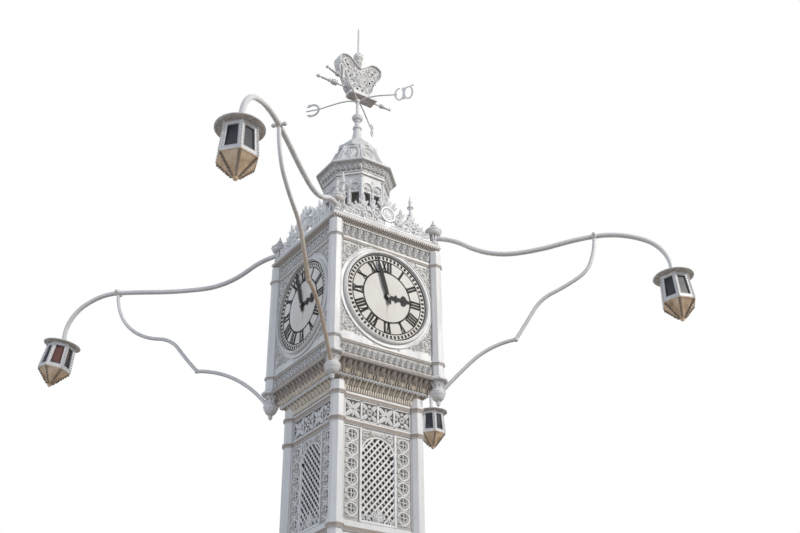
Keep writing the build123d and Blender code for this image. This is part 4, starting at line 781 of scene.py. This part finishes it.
# Dark discs painted as the shadow in the holes through the strips.
holes = Relief()
for x, z, r in (
    (-0.0165, 0.0285, 0.0115), (0.0165, 0.0285, 0.0115), (-0.0165, -0.0045, 0.0105),
    (0.0165, -0.0045, 0.0105), (-0.001, -0.036, 0.0065), (0.025, -0.031, 0.006),
    (-0.030, -0.042, 0.006), (0.047, -0.030, 0.005),
):
    holes.slab(arc((x, z), r, 0, 360, 8)[:-1], 0.3688, 0.3696)
for hand, which in ((-1, "left"), (1, "right")):
    for name, relief, finish in (("fret_strip", fret, cast_white), ("fret_holes", holes, hollow)):
        middle = (hand * FRET_ACROSS, 0, 4.276)
        cast(f"{name}_{which}", relief, finish, count=6, step=(0, 0, FRET_PITCH), centre=middle)
strip_bars = Relief()
for x, half, out in ((0.1585, 0.0078, 0.382), (0.313, 0.005, 0.378)):
    strip_bars.bar((x - half, x + half), (3.905, 4.645), STAGE_FACE, out)
strip_bars.bar((0.16, 0.313), (4.634, 4.645), STAGE_FACE, 0.376)
strip_bars.mirror()
cast("strip_bars", strip_bars, cast_white)

spray, sill = Relief(), Relief()
for row in (
    ((0.112, 4.590), 0.034, -2.4, 1.3, 0.0078, 6, 0.027, 1),
    ((0.139, 4.528), 0.014, 1.6, 1.0, 0.0055, 3, 0.018, -1),
    ((0.050, 4.614), 0.016, -2.8, 1.0, 0.0058, 4, 0.018, 1),
):
    spray.scroll(0.3715, *row)
spray.leaf([(0.118 + 0.03 * s, 0.3695, 4.612 + 0.02 * s) for s in (0.0, 0.4, 0.75, 1.0)], 0.014, 0.007)
spray.mirror()
spray.blade((0, 4.594), 0.0, grown(0.044, (0.0, 0.4, 0.75, 1.0)), 0.3695, 0.020, 0.009)
cast("arch_sprays", spray, cast_white)
for row in (
    ((0.040, 3.965), 0.026, 2.6, 1.4, 0.006, 5, 0.022, -1),
    ((0.092, 3.950), 0.018, 2.4, 1.2, 0.005, 4, 0.016, -1),
    ((0.128, 3.942), 0.012, 2.4, 1.1, 0.004, 3, 0.012, -1),
):
    sill.scroll(0.3765, *row)
sill.mirror()
for lean, long in ((0.0, 0.105), (0.5, 0.07), (-0.5, 0.07), (1.0, 0.05), (-1.0, 0.05)):
    sill.blade((0, 3.925), lean, grown(long), 0.3755, 0.026, 0.009)
sill.bar((-0.157, 0.157), (3.903, 3.922), STAGE_FACE, 0.379)
cast("sill_foliage", sill, cast_white)

LATCH_ACROSS, LATCH_OUT, LATCH_UP = 0.118, 0.382, 4.445
FACINGS = tuple(
    (hand, wall, (Matrix.Rotation(math.radians(azimuth), 4, "Z"),))
    for hand, wall, azimuth in ((1, "", 0), (-1, "_at_the_sides", 90))
)
for hand, wall, facing in FACINGS:
    latch = Relief()
    latch.ball((hand * LATCH_ACROSS, LATCH_OUT, LATCH_UP), 0.013)
    latch.tube([(hand * LATCH_ACROSS, out, LATCH_UP) for out in (0.358, LATCH_OUT)], 0.006)
    cast(f"arch_latches{wall}", latch, hand_black, slot="black_paint", sides=2, places=facing)


# Arch grilles: flat iron bars riveted in two layers inside a moulded rim, rising to the right over the front
# and back and to the left over the sides. The lower layer is painted darker as shade, and behind both a dark
# plate is painted as the shadow inside the shaft.
ARCH_HALF, ARCH_SILL, WALL_TOP = 0.150, 3.925, 4.0705
RIM_HALF, RIM_MID = 0.155, 4.25
BAR_PITCH, BAR_HALF, BAR_STEEP, FIRST_BAR = 0.0585, 0.011, 1.12, 0.16
UPPER_LAYER, LOWER_LAYER, OVER_THE_WALL = (0.3722, 0.3765), (0.3610, 0.3650), (0.3698, 0.3718)
shaded_bars = white_paint("shaded_bar_paint", 1.2, (0.60, 0.585, 0.56))


def inside_arch(x, z):
    return abs(x) < ARCH_HALF and z > ARCH_SILL and (z < ARCH_MID or math.hypot(x, z - ARCH_MID) < ARCH_HALF)


def grille_layer(relief, lean, depth, allowed):
    """The bars of one layer, each cut off where it leaves the arch or the heights that are allowed."""
    for k in range(-17, 15):
        foot = ARCH_MID - FIRST_BAR + k * BAR_PITCH
        line = [(x, foot + lean * x * BAR_STEEP) for x in [0.002 * s for s in range(-76, 77)]]
        held = [spot for spot in line if inside_arch(*spot) and allowed(spot[1])]
        if len(held) > 6:
            (x0, z0), (x1, z1) = held[0], held[-1]
            relief.slab([
                (x0, z0 - BAR_HALF), (x1, z1 - BAR_HALF), (x1, z1 + BAR_HALF), (x0, z0 + BAR_HALF)
            ], *depth)


for hand, wall, facing in FACINGS:
    lattice, behind = Relief(), Relief()
    grille_layer(behind, -hand, LOWER_LAYER, lambda up: up > WALL_TOP)
    grille_layer(behind, -hand, OVER_THE_WALL, lambda up: up <= WALL_TOP)
    grille_layer(lattice, hand, UPPER_LAYER, lambda up: True)
    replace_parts(cast(f"grille_bars{wall}", lattice, cast_white, sides=2, places=facing), "arch_grilles")
    cast(f"grille_bars_behind{wall}", behind, shaded_bars, sides=2, places=facing)
backing, rim, hood = Relief(), Relief(), Relief()
inner_arch = arc((0, ARCH_MID), 0.1505, 0, 180, 24)
backing.slab([(-0.1505, 4.071), (0.1505, 4.071), *inner_arch], 0.3570, 0.3580)
backing.bar((-0.152, 0.152), (3.92, WALL_TOP), 0.3692, 0.3697)
cast("grille_backing", backing, hollow)
crown_of_arch = arc((0, ARCH_MID), RIM_HALF, 180, 0, 24)
rim_line = [(-RIM_HALF, up) for up in (ARCH_SILL, RIM_MID)] + crown_of_arch
rim_line += [(RIM_HALF, up) for up in (RIM_MID, ARCH_SILL)]
rim.tube([(x, 0.3715, z) for x, z in rim_line], 0.0105)
hood.tube([(1.10 * x, 0.3705, ARCH_MID + 1.10 * (z - ARCH_MID)) for x, z in crown_of_arch[1:-1]], 0.0065, 5)
cast("grille_hoods", hood, band_brown)
cast("grille_rims", rim, cast_white)


# Cresting: openwork plates stand on the eaves, with leaves and scrolls cast on both faces.
# A bossed and beaded medallion is the middle of each side. Its front is painted lighter than the rest, as
# painted light; the leaves on its back keep the common white.
CREST_OUT, CREST_FOOT, CREST_MIDDLE = 0.5255, 6.44, 0.518
MEDAL_UP = CREST_FOOT + 0.140
crest = Relief()
for x, above, r in (
    (0.118, 0.112, 0.046), (0.196, 0.062, 0.054), (0.262, 0.118, 0.034),
    (0.318, 0.050, 0.042), (0.388, 0.040, 0.034),
):
    z = CREST_FOOT + above
    crest.scroll(CREST_OUT, (x, z), r * 0.96, 1.2, 1.35, 0.0075, 5, r * 0.62)
    for k in range(7):
        a = math.tau * k / 7 + 0.3
        crest.leaf([
            (x + r * s * math.cos(a + 0.5 * s), CREST_OUT - 0.002, z + r * s * math.sin(a + 0.5 * s))
            for s in (0.86, 1.02, 1.16, 1.28, 1.38)
        ], r * 0.42, 0.008)
    crest.ball((x, CREST_OUT + 0.002, z), r * 0.26, 0.9)
for x, above, tall, lean in (
    (0.244, 0.140, 0.125, 0.0), (0.155, 0.150, 0.10, -0.25),
    (0.205, 0.110, 0.08, 0.3), (0.300, 0.090, 0.085, 0.35), (0.350, 0.072, 0.07, 0.2),
    (0.415, 0.050, 0.05, 0.3), (0.065, 0.205, 0.085, 0.15),
):
    crest.palmette((x, CREST_FOOT + above), lean, tall, 0.55, 0.66, CREST_OUT - 0.004, 0.024, 0.004)
crest.tube([(x, CREST_OUT, CREST_FOOT + 0.010) for x in (0.02, 0.455)], 0.010)
crest.mirror()
crest.hoop((0, MEDAL_UP), 0.0665, 0.017, 0.523, 0.533, 32)
crest.hoop((0, MEDAL_UP), 0.047, 0.006, 0.523, 0.531, 28)
crest.ball((0, 0.524, MEDAL_UP), 0.036, 0.35, 8)
for x, z in arc((0, MEDAL_UP), 0.0765, 11.25, 348.75, 15):
    crest.ball((x, 0.5235, z), 0.0075, 0.8, 4)
for lean, long in ((0.0, 0.125), (0.42, 0.09), (-0.42, 0.09), (0.85, 0.06), (-0.85, 0.06)):
    crest.blade((0, CREST_FOOT + 0.205), lean, grown(long), CREST_OUT - 0.002, 0.026, 0.009, 0.003)
crest_lit_white = white_paint("crest_paint_painted_lighter", 0.5, (0.92, 0.92, 0.91))
crest_lit_white.onto("cresting")
cast("crest_leaves", crest, crest_lit_white)
behind_crest = Relief()
behind_crest.points = [(x, 2 * CREST_MIDDLE - out, z) for x, out, z in crest.points]
behind_crest.faces = [tuple(reversed(face)) for face in crest.faces]
cast("crest_leaves_behind", behind_crest, cast_white)


# Pinnacles: four slender turned spires stand behind the corners of the cresting, bolted through the roof.
# Each has turned rings and leafy buds, cast in one with its stem.
PINNACLE, PINNACLE_FOOT = (0.355, 0.355), 6.54


def ring_about(relief, spot, up, radius, thick, steps=20):
    """A turned moulding round an upright axis that stands at that spot, across and out."""
    relief.tube([(x, out, up) for x, out in arc(spot, radius, 0, 360, steps)], thick)


def bud_about(relief, spot, up, radius, rise, count=8, spread=1.0):
    """Upright leaves round an axis, opening outward at their tips."""
    profile = (
        (1.0, 0.0, 0.9), (1.10, 0.4, 1.1),
        (1.1 + 0.16 * spread, 0.75, 0.95), (1.1 + 0.45 * spread, 1.0, 0.25),
    )
    for c, s in arc((0, 0), 1, 0, 360, count)[:-1]:
        rings = []
        for reach, share, wide in profile:
            x, out, z = spot[0] + c * radius * reach, spot[1] + s * radius * reach, up + rise * share
            half, deep = radius * 0.36 * wide, radius * 0.16
            rings.append([
                (x + s * half, out - c * half, z), (x + c * deep, out + s * deep, z),
                (x - s * half, out + c * half, z), (x - c * deep * 0.4, out - s * deep * 0.4, z),
            ])
        relief.skin(rings)


turned = Relief()
for height, radius, thick in ((0.020, 0.032, 0.007), (0.196, 0.031, 0.007), (0.326, 0.0245, 0.006)):
    ring_about(turned, PINNACLE, PINNACLE_FOOT + height, radius, thick)
for height, radius, rise, spread in (
    (0.215, 0.017, 0.035, 1.0), (0.345, 0.013, 0.045, 1.0), (0.05, 0.021, 0.06, 0.4),
):
    bud_about(turned, PINNACLE, PINNACLE_FOOT + height, radius, rise, 6, spread)
cast("pinnacle_turnings", turned, cast_white)


# Corner bosses: an urn stands over each corner of the head and a pendant hangs under it, where arms enter.
# Both are turned iron with a leafy collar; the urn has a ring of beads round its belly.
CORNER = (0.5, 0.5)
boss, drop = Relief(), Relief()
for up, radius, thick in (
    (6.452, 0.036, 0.006), (6.478, 0.031, 0.005), (6.583, 0.0705, 0.005), (6.642, 0.023, 0.0055),
):
    ring_about(boss, CORNER, up, radius, thick, 24)
bud_about(boss, CORNER, 6.487, 0.030, 0.050, 8, 0.9)
for x, out in arc(CORNER, 0.071, 0, 360, 12)[:-1]:
    boss.ball((x, out, 6.590), 0.0065, 1.0, 4)
cast("finial_collars", boss, cast_white)
for up, radius, thick in (
    (5.130, 0.050, 0.006), (5.076, 0.036, 0.005), (5.040, 0.0625, 0.0045), (4.951, 0.017, 0.004),
):
    ring_about(drop, CORNER, up, radius, thick, 24)
bud_about(drop, CORNER, 5.064, 0.038, 0.058, 8, 1.9)
cast("pendant_collars", drop, cast_white)


# Lantern: an octagonal drum of cast iron with twin arches on each facet, under a flared frieze and its eaves.
# Turned columns, roll mouldings and leaf scrolls are cast with the facets and bolted together at the corners.
FACET = math.tan(math.pi / 8)
DRUM_OUT, FRIEZE_FOOT, FRIEZE_SLOPE, TWIN = 0.2745, 7.132, 0.44, (-0.054, 0.054)
dentil, frieze_ground, eave, roll = Relief(), Relief(), Relief(), Relief()
dentil.bar((-0.006, 0.006), (7.134, 7.148), 0.270, 0.294)
cast("lantern_dentils", dentil, cast_white, count=12, step=(0.0185, 0, 0), sides=8)
frieze_ground.skin([
    [(side * (FACET * out - 0.004), out + away, up) for side, away in (
        (-1, 0.0015), (1, 0.0015), (1, -0.001), (-1, -0.001),
    )] for out, up in ((0.2785, 7.134), (0.3205, 7.2235))
])
# The bed behind the lantern's scrolls is painted dark as shade.
cast("lantern_frieze_bed", frieze_ground, hollow_shade_bed, sides=8)
eave.scroll(0.2835, (-0.008, 7.184), 0.024, 2.2, 1.25, 0.0065, 3, 0.016, -1)
eave.blade((0.018, 7.146), 0.0, grown(0.070, SHORT_MARKS), 0.281, 0.016, 0.008)
for x, up, radius in ((0.019, 7.150, 0.0065), (-0.028, 7.212, 0.0055)):
    eave.ball((x, 0.283, up), radius, 0.8)
eave.bent(lambda up: (up - FRIEZE_FOOT) * FRIEZE_SLOPE)
cast("lantern_scrolls", eave, cast_white, count=5, step=(0.0475, 0, 0), sides=8)
roll.rail(0.143, 0.3455, 7.232, 0.0055)
roll.rail(0.118, 0.292, 7.140, 0.0045)
for k in range(22):
    roll.ball((-0.134 + 0.01276 * k, 0.3195, 7.2215), 0.0048, 1.0, 4)
cast("lantern_rolls", roll, cast_white, sides=8)
arcade = Relief()
for x in TWIN:
    arcade.tube([(across, 0.2775, up) for across, up in arc((x, 6.982), 0.045, 180, 0, 12)], 0.0065)
    arcade.tube([(across, DRUM_OUT, up) for across, up in arc((x, 6.980), 0.034, 180, 0, 10)], 0.0035, 5)
    for k in range(-3, 4):
        reaches = (0.006, 0.022, 0.038, 0.050 if k else 0.062)
        arcade.blade((x, 6.950), 0.42 * k, reaches, 0.2722, 0.013, 0.007)
    arcade.ball((x, 0.2735, 6.950), 0.009, 0.7)
    for beside in (-0.027, -0.009, 0.009, 0.027):
        arcade.ball((x + beside, 0.2715, 6.930), 0.0085, 0.9)
    for beside in (-0.047, 0.047):
        arcade.blade((x + beside, 7.030), 0.0, grown(0.040, SHORT_MARKS), 0.2722, 0.016, 0.006)
for x, radius, top in ((0.0, 0.0095, 6.972), (0.1127, 0.0125, 7.090)):
    turning = (
        (6.792, 1.5), (6.800, 1.5), (6.806, 1.0), (top - 0.02, 0.9), (top - 0.008, 1.5), (top, 1.7),
    )
    arcade.tube([(x, DRUM_OUT, up) for up, _ in turning], [radius * share for _, share in turning], 8)
    arcade.tube([(x, DRUM_OUT, up) for up in (6.880, 6.890)], radius * 1.35, 8)
cast("lantern_arcade", arcade, cast_white, sides=8)
skirt = Relief()
skirt.rail(0.118, 0.2925, 6.699, 0.006)
for x in TWIN:
    for foot in (6.712, 6.778):
        skirt.bar((x - 0.040, x + 0.040), (foot, foot + 0.006), 0.2715, 0.2765)
    skirt.scroll(0.2735, (x - 0.015, 6.748), 0.017, 0.5, 1.1, 0.004)
    skirt.scroll(0.2735, (x + 0.017, 6.748), 0.017, 2.6, 1.1, 0.004, hand=-1)
    skirt.blade((x, 6.722), 0.0, grown(0.052, SHORT_MARKS), 0.2725, 0.014, 0.006)
cast("lantern_skirt", skirt, cast_white, sides=8)


# Dome: eight cast facets bolted along their ridges, each with an arch-headed rim round a fluted shell.
# Dimples like eggs run along the foot, and a round moulding covers each ridge.
DOME_FOOT, DOME_RISE = 7.263, 0.2589
SHELL_FOOT, SPRINGING = 7.285, 7.36
DOME_PROFILE = ((0.0, 0.300), (0.060, 0.262), (0.150, 0.222), (0.259, 0.178))


def dome_out(z):
    """How far the facet stands from the axis at that height."""
    rise = min(max(z - DOME_FOOT, 0.0), DOME_RISE)
    for (low, wide), (high, narrow) in zip(DOME_PROFILE, DOME_PROFILE[1:]):
        if rise <= high:
            return wide + (narrow - wide) * (rise - low) / (high - low)


shell, ridge = Relief(), Relief()
head_of_arch = [(0.066 * x, 7.425 + 0.062 * z) for x, z in arc((0, 0), 1, 180, 0, 12)]
shell_rim = [
    (-0.080, SHELL_FOOT), (-0.074, SPRINGING), *head_of_arch, (0.074, SPRINGING), (0.080, SHELL_FOOT),
]
shell.tube([(x, 0.0015, z) for x, z in shell_rim], 0.0095)
shell.tube([(0.80 * x, 0.001, 7.30 + 0.84 * (z - SHELL_FOOT)) for x, z in shell_rim], 0.0045, 5)
for k in range(-3, 4):
    shell.blade((0, 7.335), 0.24 * k, (0.0, 0.045, 0.085, 0.115, 0.132), 0.0, 0.019, 0.009)
shell.ball((0, 0.002, 7.330), 0.014, 0.6)
for k in range(-2, 3):
    shell.ball((0.034 * k, 0.002, 7.297), 0.010, 0.6)
shell.bent(dome_out)
cast("dome_shells", shell, cast_white, sides=8)
ridge.tube([
    (FACET * dome_out(up), dome_out(up), up) for up in (7.264, 7.293, 7.322, 7.368, 7.412, 7.465, 7.518)
], 0.0065)
cast("dome_ridges", ridge, cast_white, sides=8)


# Vane: a crown of two pierced iron plates riveted to a box that turns on the mast, with foliage on them.
# A leafy bud grows up the mast between the plates, and the sceptres across the foot have turned rings.
CROWN_FOOT, PLATE_OUT = 8.246, 0.0395
crown, bud, rings = Relief(), Relief(), Relief()
for x, above, *row in (
    (0.150, 0.318, 0.062, 2.6, 1.5, 0.0075, 6, 0.034, -1),
    (0.082, 0.238, 0.040, -0.4, 1.4, 0.0065, 5, 0.026, 1),
    (0.150, 0.196, 0.034, 2.9, 1.3, 0.006, 4, 0.022, -1),
    (0.046, 0.150, 0.034, 2.4, 1.3, 0.006, 4, 0.022, -1),
    (0.104, 0.122, 0.028, 0.4, 1.2, 0.0055, 4, 0.020, 1),
    (0.040, 0.066, 0.026, -0.6, 1.2, 0.0055, 4, 0.020, 1),
    (0.200, 0.262, 0.022, 1.0, 1.1, 0.005, 3, 0.016, 1),
    (0.205, 0.352, 0.020, 0.5, 1.1, 0.005, 3, 0.014, 1),
):
    crown.scroll(PLATE_OUT, (x, CROWN_FOOT + above), *row)
for x, above, lean, long in (
    (0.060, 0.290, 0.9, 0.070), (0.120, 0.372, 1.3, 0.055), (0.110, 0.060, 0.2, 0.060),
    (0.020, 0.200, 0.35, 0.085), (0.078, 0.180, 0.5, 0.060),
    (0.175, 0.240, -0.2, 0.050), (0.095, 0.330, 0.7, 0.06), (0.070, 0.030, 0.7, 0.05),
):
    crown.palmette((x, CROWN_FOOT + above), lean, long, 0.5, 0.7, PLATE_OUT, 0.020)
crown.mirror()
for lean in (-0.9, -0.45, 0.0, 0.45, 0.9):
    crown.leaf([
        (math.sin(lean) * r, PLATE_OUT, CROWN_FOOT + 0.10 + 1.1 * math.cos(lean) * r) for r in grown(0.10)
    ], 0.026, 0.010)
for above, radius in ((0.10, 0.016), (0.255, 0.014)):
    crown.ball((0, PLATE_OUT, CROWN_FOOT + above), radius, 0.7)
cast("crown_foliage", crown, cast_white, body="vane", sides=2)
for above, radius, rise in (
    (0.322, 0.020, 0.034), (0.372, 0.024, 0.040), (0.430, 0.030, 0.045), (0.470, 0.034, 0.030),
):
    bud_about(bud, (0, 0), CROWN_FOOT + above, radius, rise, 7, 0.9)
cast("vane_bud", bud, cast_white, body="vane", sides=1)
for start, above, slope, long, swell in (
    (-0.100, 0.042, 180, 0.368, 0.025), (-0.120, 0.127, 163, 0.256, 0.022), (0.180, -0.017, 0, 0.205, 0.016),
):
    run, rise = math.cos(math.radians(slope)), math.sin(math.radians(slope))
    for share, wide in ((0.40, 1.0), (0.52, 1.0), (0.46, 1.12), (0.60, 0.62), (0.94, 0.62)):
        x, z = start + run * long * share, CROWN_FOOT + above + rise * long * share
        rings.tube([
            (x - rise * c, s, z + run * c) for c, s in arc((0, 0), swell * wide + 0.002, 0, 360, 12)
        ], 0.0035, 5)
cast("sceptre_rings", rings, cast_white, body="vane", sides=1)


# Lamps: four six-sided lanterns hang at the ends of the arms, a painted iron case with a window in each side.
# Rivets and beads run down the corners and round the skirt. The hopper under it is ochre sheet, its six ribs
# rusted through their paint. The panes are painted dark as the shade inside the case, mottled with dust, and
# one of them is red.
LAMPS = [
    Matrix.Translation((0.5 * cx, 0.5 * cy, 0)) @ Matrix.Rotation(math.radians(azimuth), 4, "Z")
    @ Matrix.Translation((reach, 0, up)) @ Matrix.Rotation(math.radians(-lean), 4, "Y")
    for cx, cy, azimuth, reach, up, lean in (
        (-1, -1, -138.5, 2.030, 5.865, 1.0), (1, -1, -46.0, 1.983, 5.937, 3.0),
        (-1, 1, 131.5, 2.064, 5.937, 9.5), (1, 1, 38.0, 1.950, 6.027, 2.0),
    )
]
WAIST, SKIRT, LAMP_HEAD, LAMP_SILL, LAMP_END = 0.118, 0.138, -0.066, -0.306, -0.442
SIDE, SLANT = math.sqrt(3), 0.577
BOARD, STILE, RAIL = 0.012, 0.020, 0.032
AT_SIDES, AT_CORNERS = (dict(sides=6, spin=spin, places=LAMPS) for spin in (90, 120))
RED_PANE = (-1.896, 1.940, 5.75)

# The panes are painted near black, as the shade inside the case seen through the glass; dust mottles it.
dark_glass = Finish("lamp_glass", specular=0.3)
pane_dust = dark_glass.noise(14, 4)
away = dark_glass.place.node(
    "ShaderNodeVectorMath", {"operation": "DISTANCE"}, {0: dark_glass.place, 1: RED_PANE}, 1
)
red = (1.0 - away.between(0.085, 0.110)) * (pane_dust * 0.6 + 0.4)
pane = pane_dust.shades((0.35, (0.022, 0.026, 0.034)), (0.75, (0.075, 0.08, 0.09)))
dark_glass.feed("Base Color", pane.toward((0.20, 0.085, 0.065), red))
dark_glass.feed("Roughness", pane_dust * 0.3 + 0.32)
dark_glass.onto("lamp_panes")

ochre = Finish("ochre_paint", 0.6)
ochre_dirt = ochre.noise(12, 5)
ochre.feed("Base Color", ochre_dirt.shades(
    (0.3, (0.32, 0.21, 0.125)), (0.5, (0.59, 0.42, 0.26)), (0.75, (0.73, 0.61, 0.48))
))
ochre.relief(ochre_dirt, 0.3, 0.002)
ochre.onto("lamp_bottoms")
stud_rust = white_paint("rusty_stud_paint", 1.8, (0.17, 0.12, 0.085))


def half_side(up):
    """Half the width of one side of the hexagon at that height."""
    return 0.5 * (WAIST + (SKIRT - WAIST) * (LAMP_HEAD - up) / (LAMP_HEAD - LAMP_SILL))


def down_corner(relief, top, foot, count, radius):
    """Beads down the corner that faces forward, from (out, up) to (out, up)."""
    for k in range(count):
        s = (k + 0.5) / count
        relief.ball((0, top[0] + (foot[0] - top[0]) * s, top[1] + (foot[1] - top[1]) * s), radius, 1.0, 4)


def along_side(reach, up, share):
    """A place along one side of the hexagon with that reach, between its corners."""
    return reach * SIDE / 2 * -share, reach * (1 - 0.5 * share), up


case, beading, glazing = Relief(), Relief(), Relief()
window = []
for side, edge, toward in ((-1, LAMP_SILL, 1), (1, LAMP_SILL, 1), (1, LAMP_HEAD, -1), (-1, LAMP_HEAD, -1)):
    sash = edge + toward * RAIL
    wide, narrow = half_side(edge), half_side(sash)
    window.append([
        (side * wide, wide * SIDE, edge), (side * (narrow - STILE), narrow * SIDE, sash),
        (side * (narrow - STILE), narrow * SIDE - BOARD, sash),
        (side * (wide - SLANT * BOARD), wide * SIDE - BOARD, edge),
    ])
case.skin(window + window[:1], caps=False)
beading.tube([corners[1] for corners in window + window[:1]], 0.0035, 5)
glazing.skin([
    [(x * 1.1, out - deep, z) for (_, (x, out, z), _, _) in window]
    for deep in (BOARD + 0.0005, BOARD + 0.0045)
])
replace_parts(cast("lamp_cases", case, cast_white, **AT_SIDES), "lamp_frames")
cast("lamp_beading", beading, cast_white, **AT_SIDES)
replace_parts(cast("lamp_glazing", glazing, dark_glass, slot="lamp_glass", **AT_SIDES), "lamp_panes")
hopper, trim, rib, studs, hat = Relief(), Relief(), Relief(), Relief(), Relief()
hopper.skin([
    [(x, out, up) for x, out in arc((0, 0), reach, 0, 360, 6)[:-1]]
    for reach, up in (
        (SKIRT + 0.006, LAMP_SILL), (SKIRT + 0.006, LAMP_SILL - 0.010), (SKIRT, LAMP_SILL - 0.0105),
        (0.024, LAMP_END),
    )
])
hopper.ball((0, 0, LAMP_END - 0.006), 0.020)
hoppers = cast("lamp_hoppers", hopper, ochre, slot="ochre_paint", sides=1, spin=30, places=LAMPS)
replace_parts(hoppers, "lamp_bottoms")
trim.skin([
    [(-0.011, out - 0.009, up), (0.011, out - 0.009, up), (0.004, out + 0.003, up), (-0.004, out + 0.003, up)]
    for out, up in ((WAIST, LAMP_HEAD), (SKIRT, LAMP_SILL))
])
down_corner(trim, (WAIST + 0.005, LAMP_HEAD), (SKIRT + 0.005, LAMP_SILL), 11, 0.0082)
for k in range(8):
    trim.ball(along_side(SKIRT + 0.002, LAMP_SILL - 0.002, (k + 0.5) / 8), 0.0075, 1.0, 4)
trim.tube([along_side(WAIST - 0.001, LAMP_HEAD - 0.006, share) for share in (0, 1)], 0.005, 5)
cast("lamp_trims", trim, cast_white, **AT_CORNERS)
rib.skin([
    [(side * wide, out + away, up) for side, away in (
        (-1, 0.002 - SLANT * wide), (0, 0.004), (1, 0.002 - SLANT * wide), (0, -0.006),
    )]
    for wide, out, up in ((0.0115, SKIRT + 0.001, LAMP_SILL - 0.012), (0.006, 0.026, LAMP_END))
])
cast("lamp_ribs", rib, stud_rust, slot="ochre_paint", **AT_CORNERS)
down_corner(studs, (SKIRT + 0.003, LAMP_SILL - 0.014), (0.028, LAMP_END), 7, 0.0085)
studs.ball((0.0, 0.058, LAMP_END + 0.036), 0.0105)
cast("lamp_studs", studs, stud_rust, **AT_CORNERS)
for up, radius, thick, steps in ((-0.060, 0.1635, 0.0045, 48), (-0.036, 0.060, 0.006, 24)):
    hat.tube([(x, out, up) for x, out in arc((0, 0), radius, 90, -270, steps)], thick)
cast("lamp_brims", hat, cast_white, sides=1, places=LAMPS)


# Floor, backdrop and light: a pale floor under three soft lamps, and a plain white surround.
# The key lamp stands to the right of the front dial, warm; a cool fill lights the left side.
bpy.ops.mesh.primitive_plane_add(size=60, location=(0, 0, 0))
floor = bpy.context.object
floor.name = "floor"
pale = Finish("pale_floor", 0.9)
pale.feed("Base Color", pale.noise(0.6, 3).shades((0.3, (0.70, 0.70, 0.69)), (0.7, (0.76, 0.76, 0.75))))
floor.data.materials.append(pale.material)

world = bpy.data.worlds.new("studio")
bpy.context.scene.world = world
world.use_nodes = True
air = Flow(world.node_tree)
seen = 0.0
for ray in ("Is Camera Ray", "Is Transmission Ray", "Is Glossy Ray"):
    sees = air.node("ShaderNodeLightPath", output=ray)
    seen = air.node("ShaderNodeMath", {"operation": "ADD", "use_clamp": True}, {0: seen, 1: sees})
dim = air.node("ShaderNodeBackground", {}, {"Color": (0.72, 0.80, 1.0, 1.0), "Strength": 0.32})
bright = air.node("ShaderNodeBackground", {}, {"Color": (1.0, 1.0, 1.0, 1.0), "Strength": 1.0})
both = air.node("ShaderNodeMixShader", {}, {0: seen, 1: dim, 2: bright})
world.node_tree.links.new(both.out, world.node_tree.nodes["World Output"].inputs[0])

for name, place, aim_up, size, power, color in (
    ("key_lamp", (7.0, -13.0, 13.0), 5.8, 2.4, 1800, (1.0, 0.96, 0.90)),
    ("fill_lamp", (-12.0, -2.0, 7.0), 5.5, 7.0, 300, (0.86, 0.91, 1.0)),
    ("back_lamp", (5.0, 12.0, 12.0), 6.0, 6.0, 700, (1.0, 1.0, 1.0)),
):
    light = bpy.data.lights.new(name, "AREA")
    light.size, light.energy, light.color = size, power, color
    lamp = bpy.data.objects.new(name, light)
    bpy.context.scene.collection.objects.link(lamp)
    lamp.location = place
    lamp.rotation_euler = (Vector((0, 0, aim_up)) - Vector(place)).to_track_quat("-Z", "Y").to_euler()


# Camera: fitted to the tower's edges in the photograph, from eye height on the ground.
# It looks up at the corner between the front and the left side.
YAW, PITCH, ROLL = 0.5999, 0.5245, -0.0098
EYE = (-4.2705, -6.9452, 1.6004)
FOCAL, PHOTO_WIDTH, SENSOR = 1063.0, 800.0, 36.0
ahead = Vector((math.sin(YAW) * math.cos(PITCH), math.cos(YAW) * math.cos(PITCH), math.sin(PITCH)))
level = Vector((math.cos(YAW), -math.sin(YAW), 0.0))
above = level.cross(ahead)
right = level * math.cos(ROLL) + above * math.sin(ROLL)
top = above * math.cos(ROLL) - level * math.sin(ROLL)
lens = bpy.data.cameras.new("camera")
lens.sensor_width, lens.lens = SENSOR, FOCAL / PHOTO_WIDTH * SENSOR
lens.clip_end = 200.0
camera = bpy.data.objects.new("camera", lens)
bpy.context.scene.collection.objects.link(camera)
camera.matrix_world = Matrix.Translation(EYE) @ Matrix((right, top, -ahead)).transposed().to_4x4()
bpy.context.scene.camera = camera
bpy.context.scene.view_settings.view_transform = "Standard"
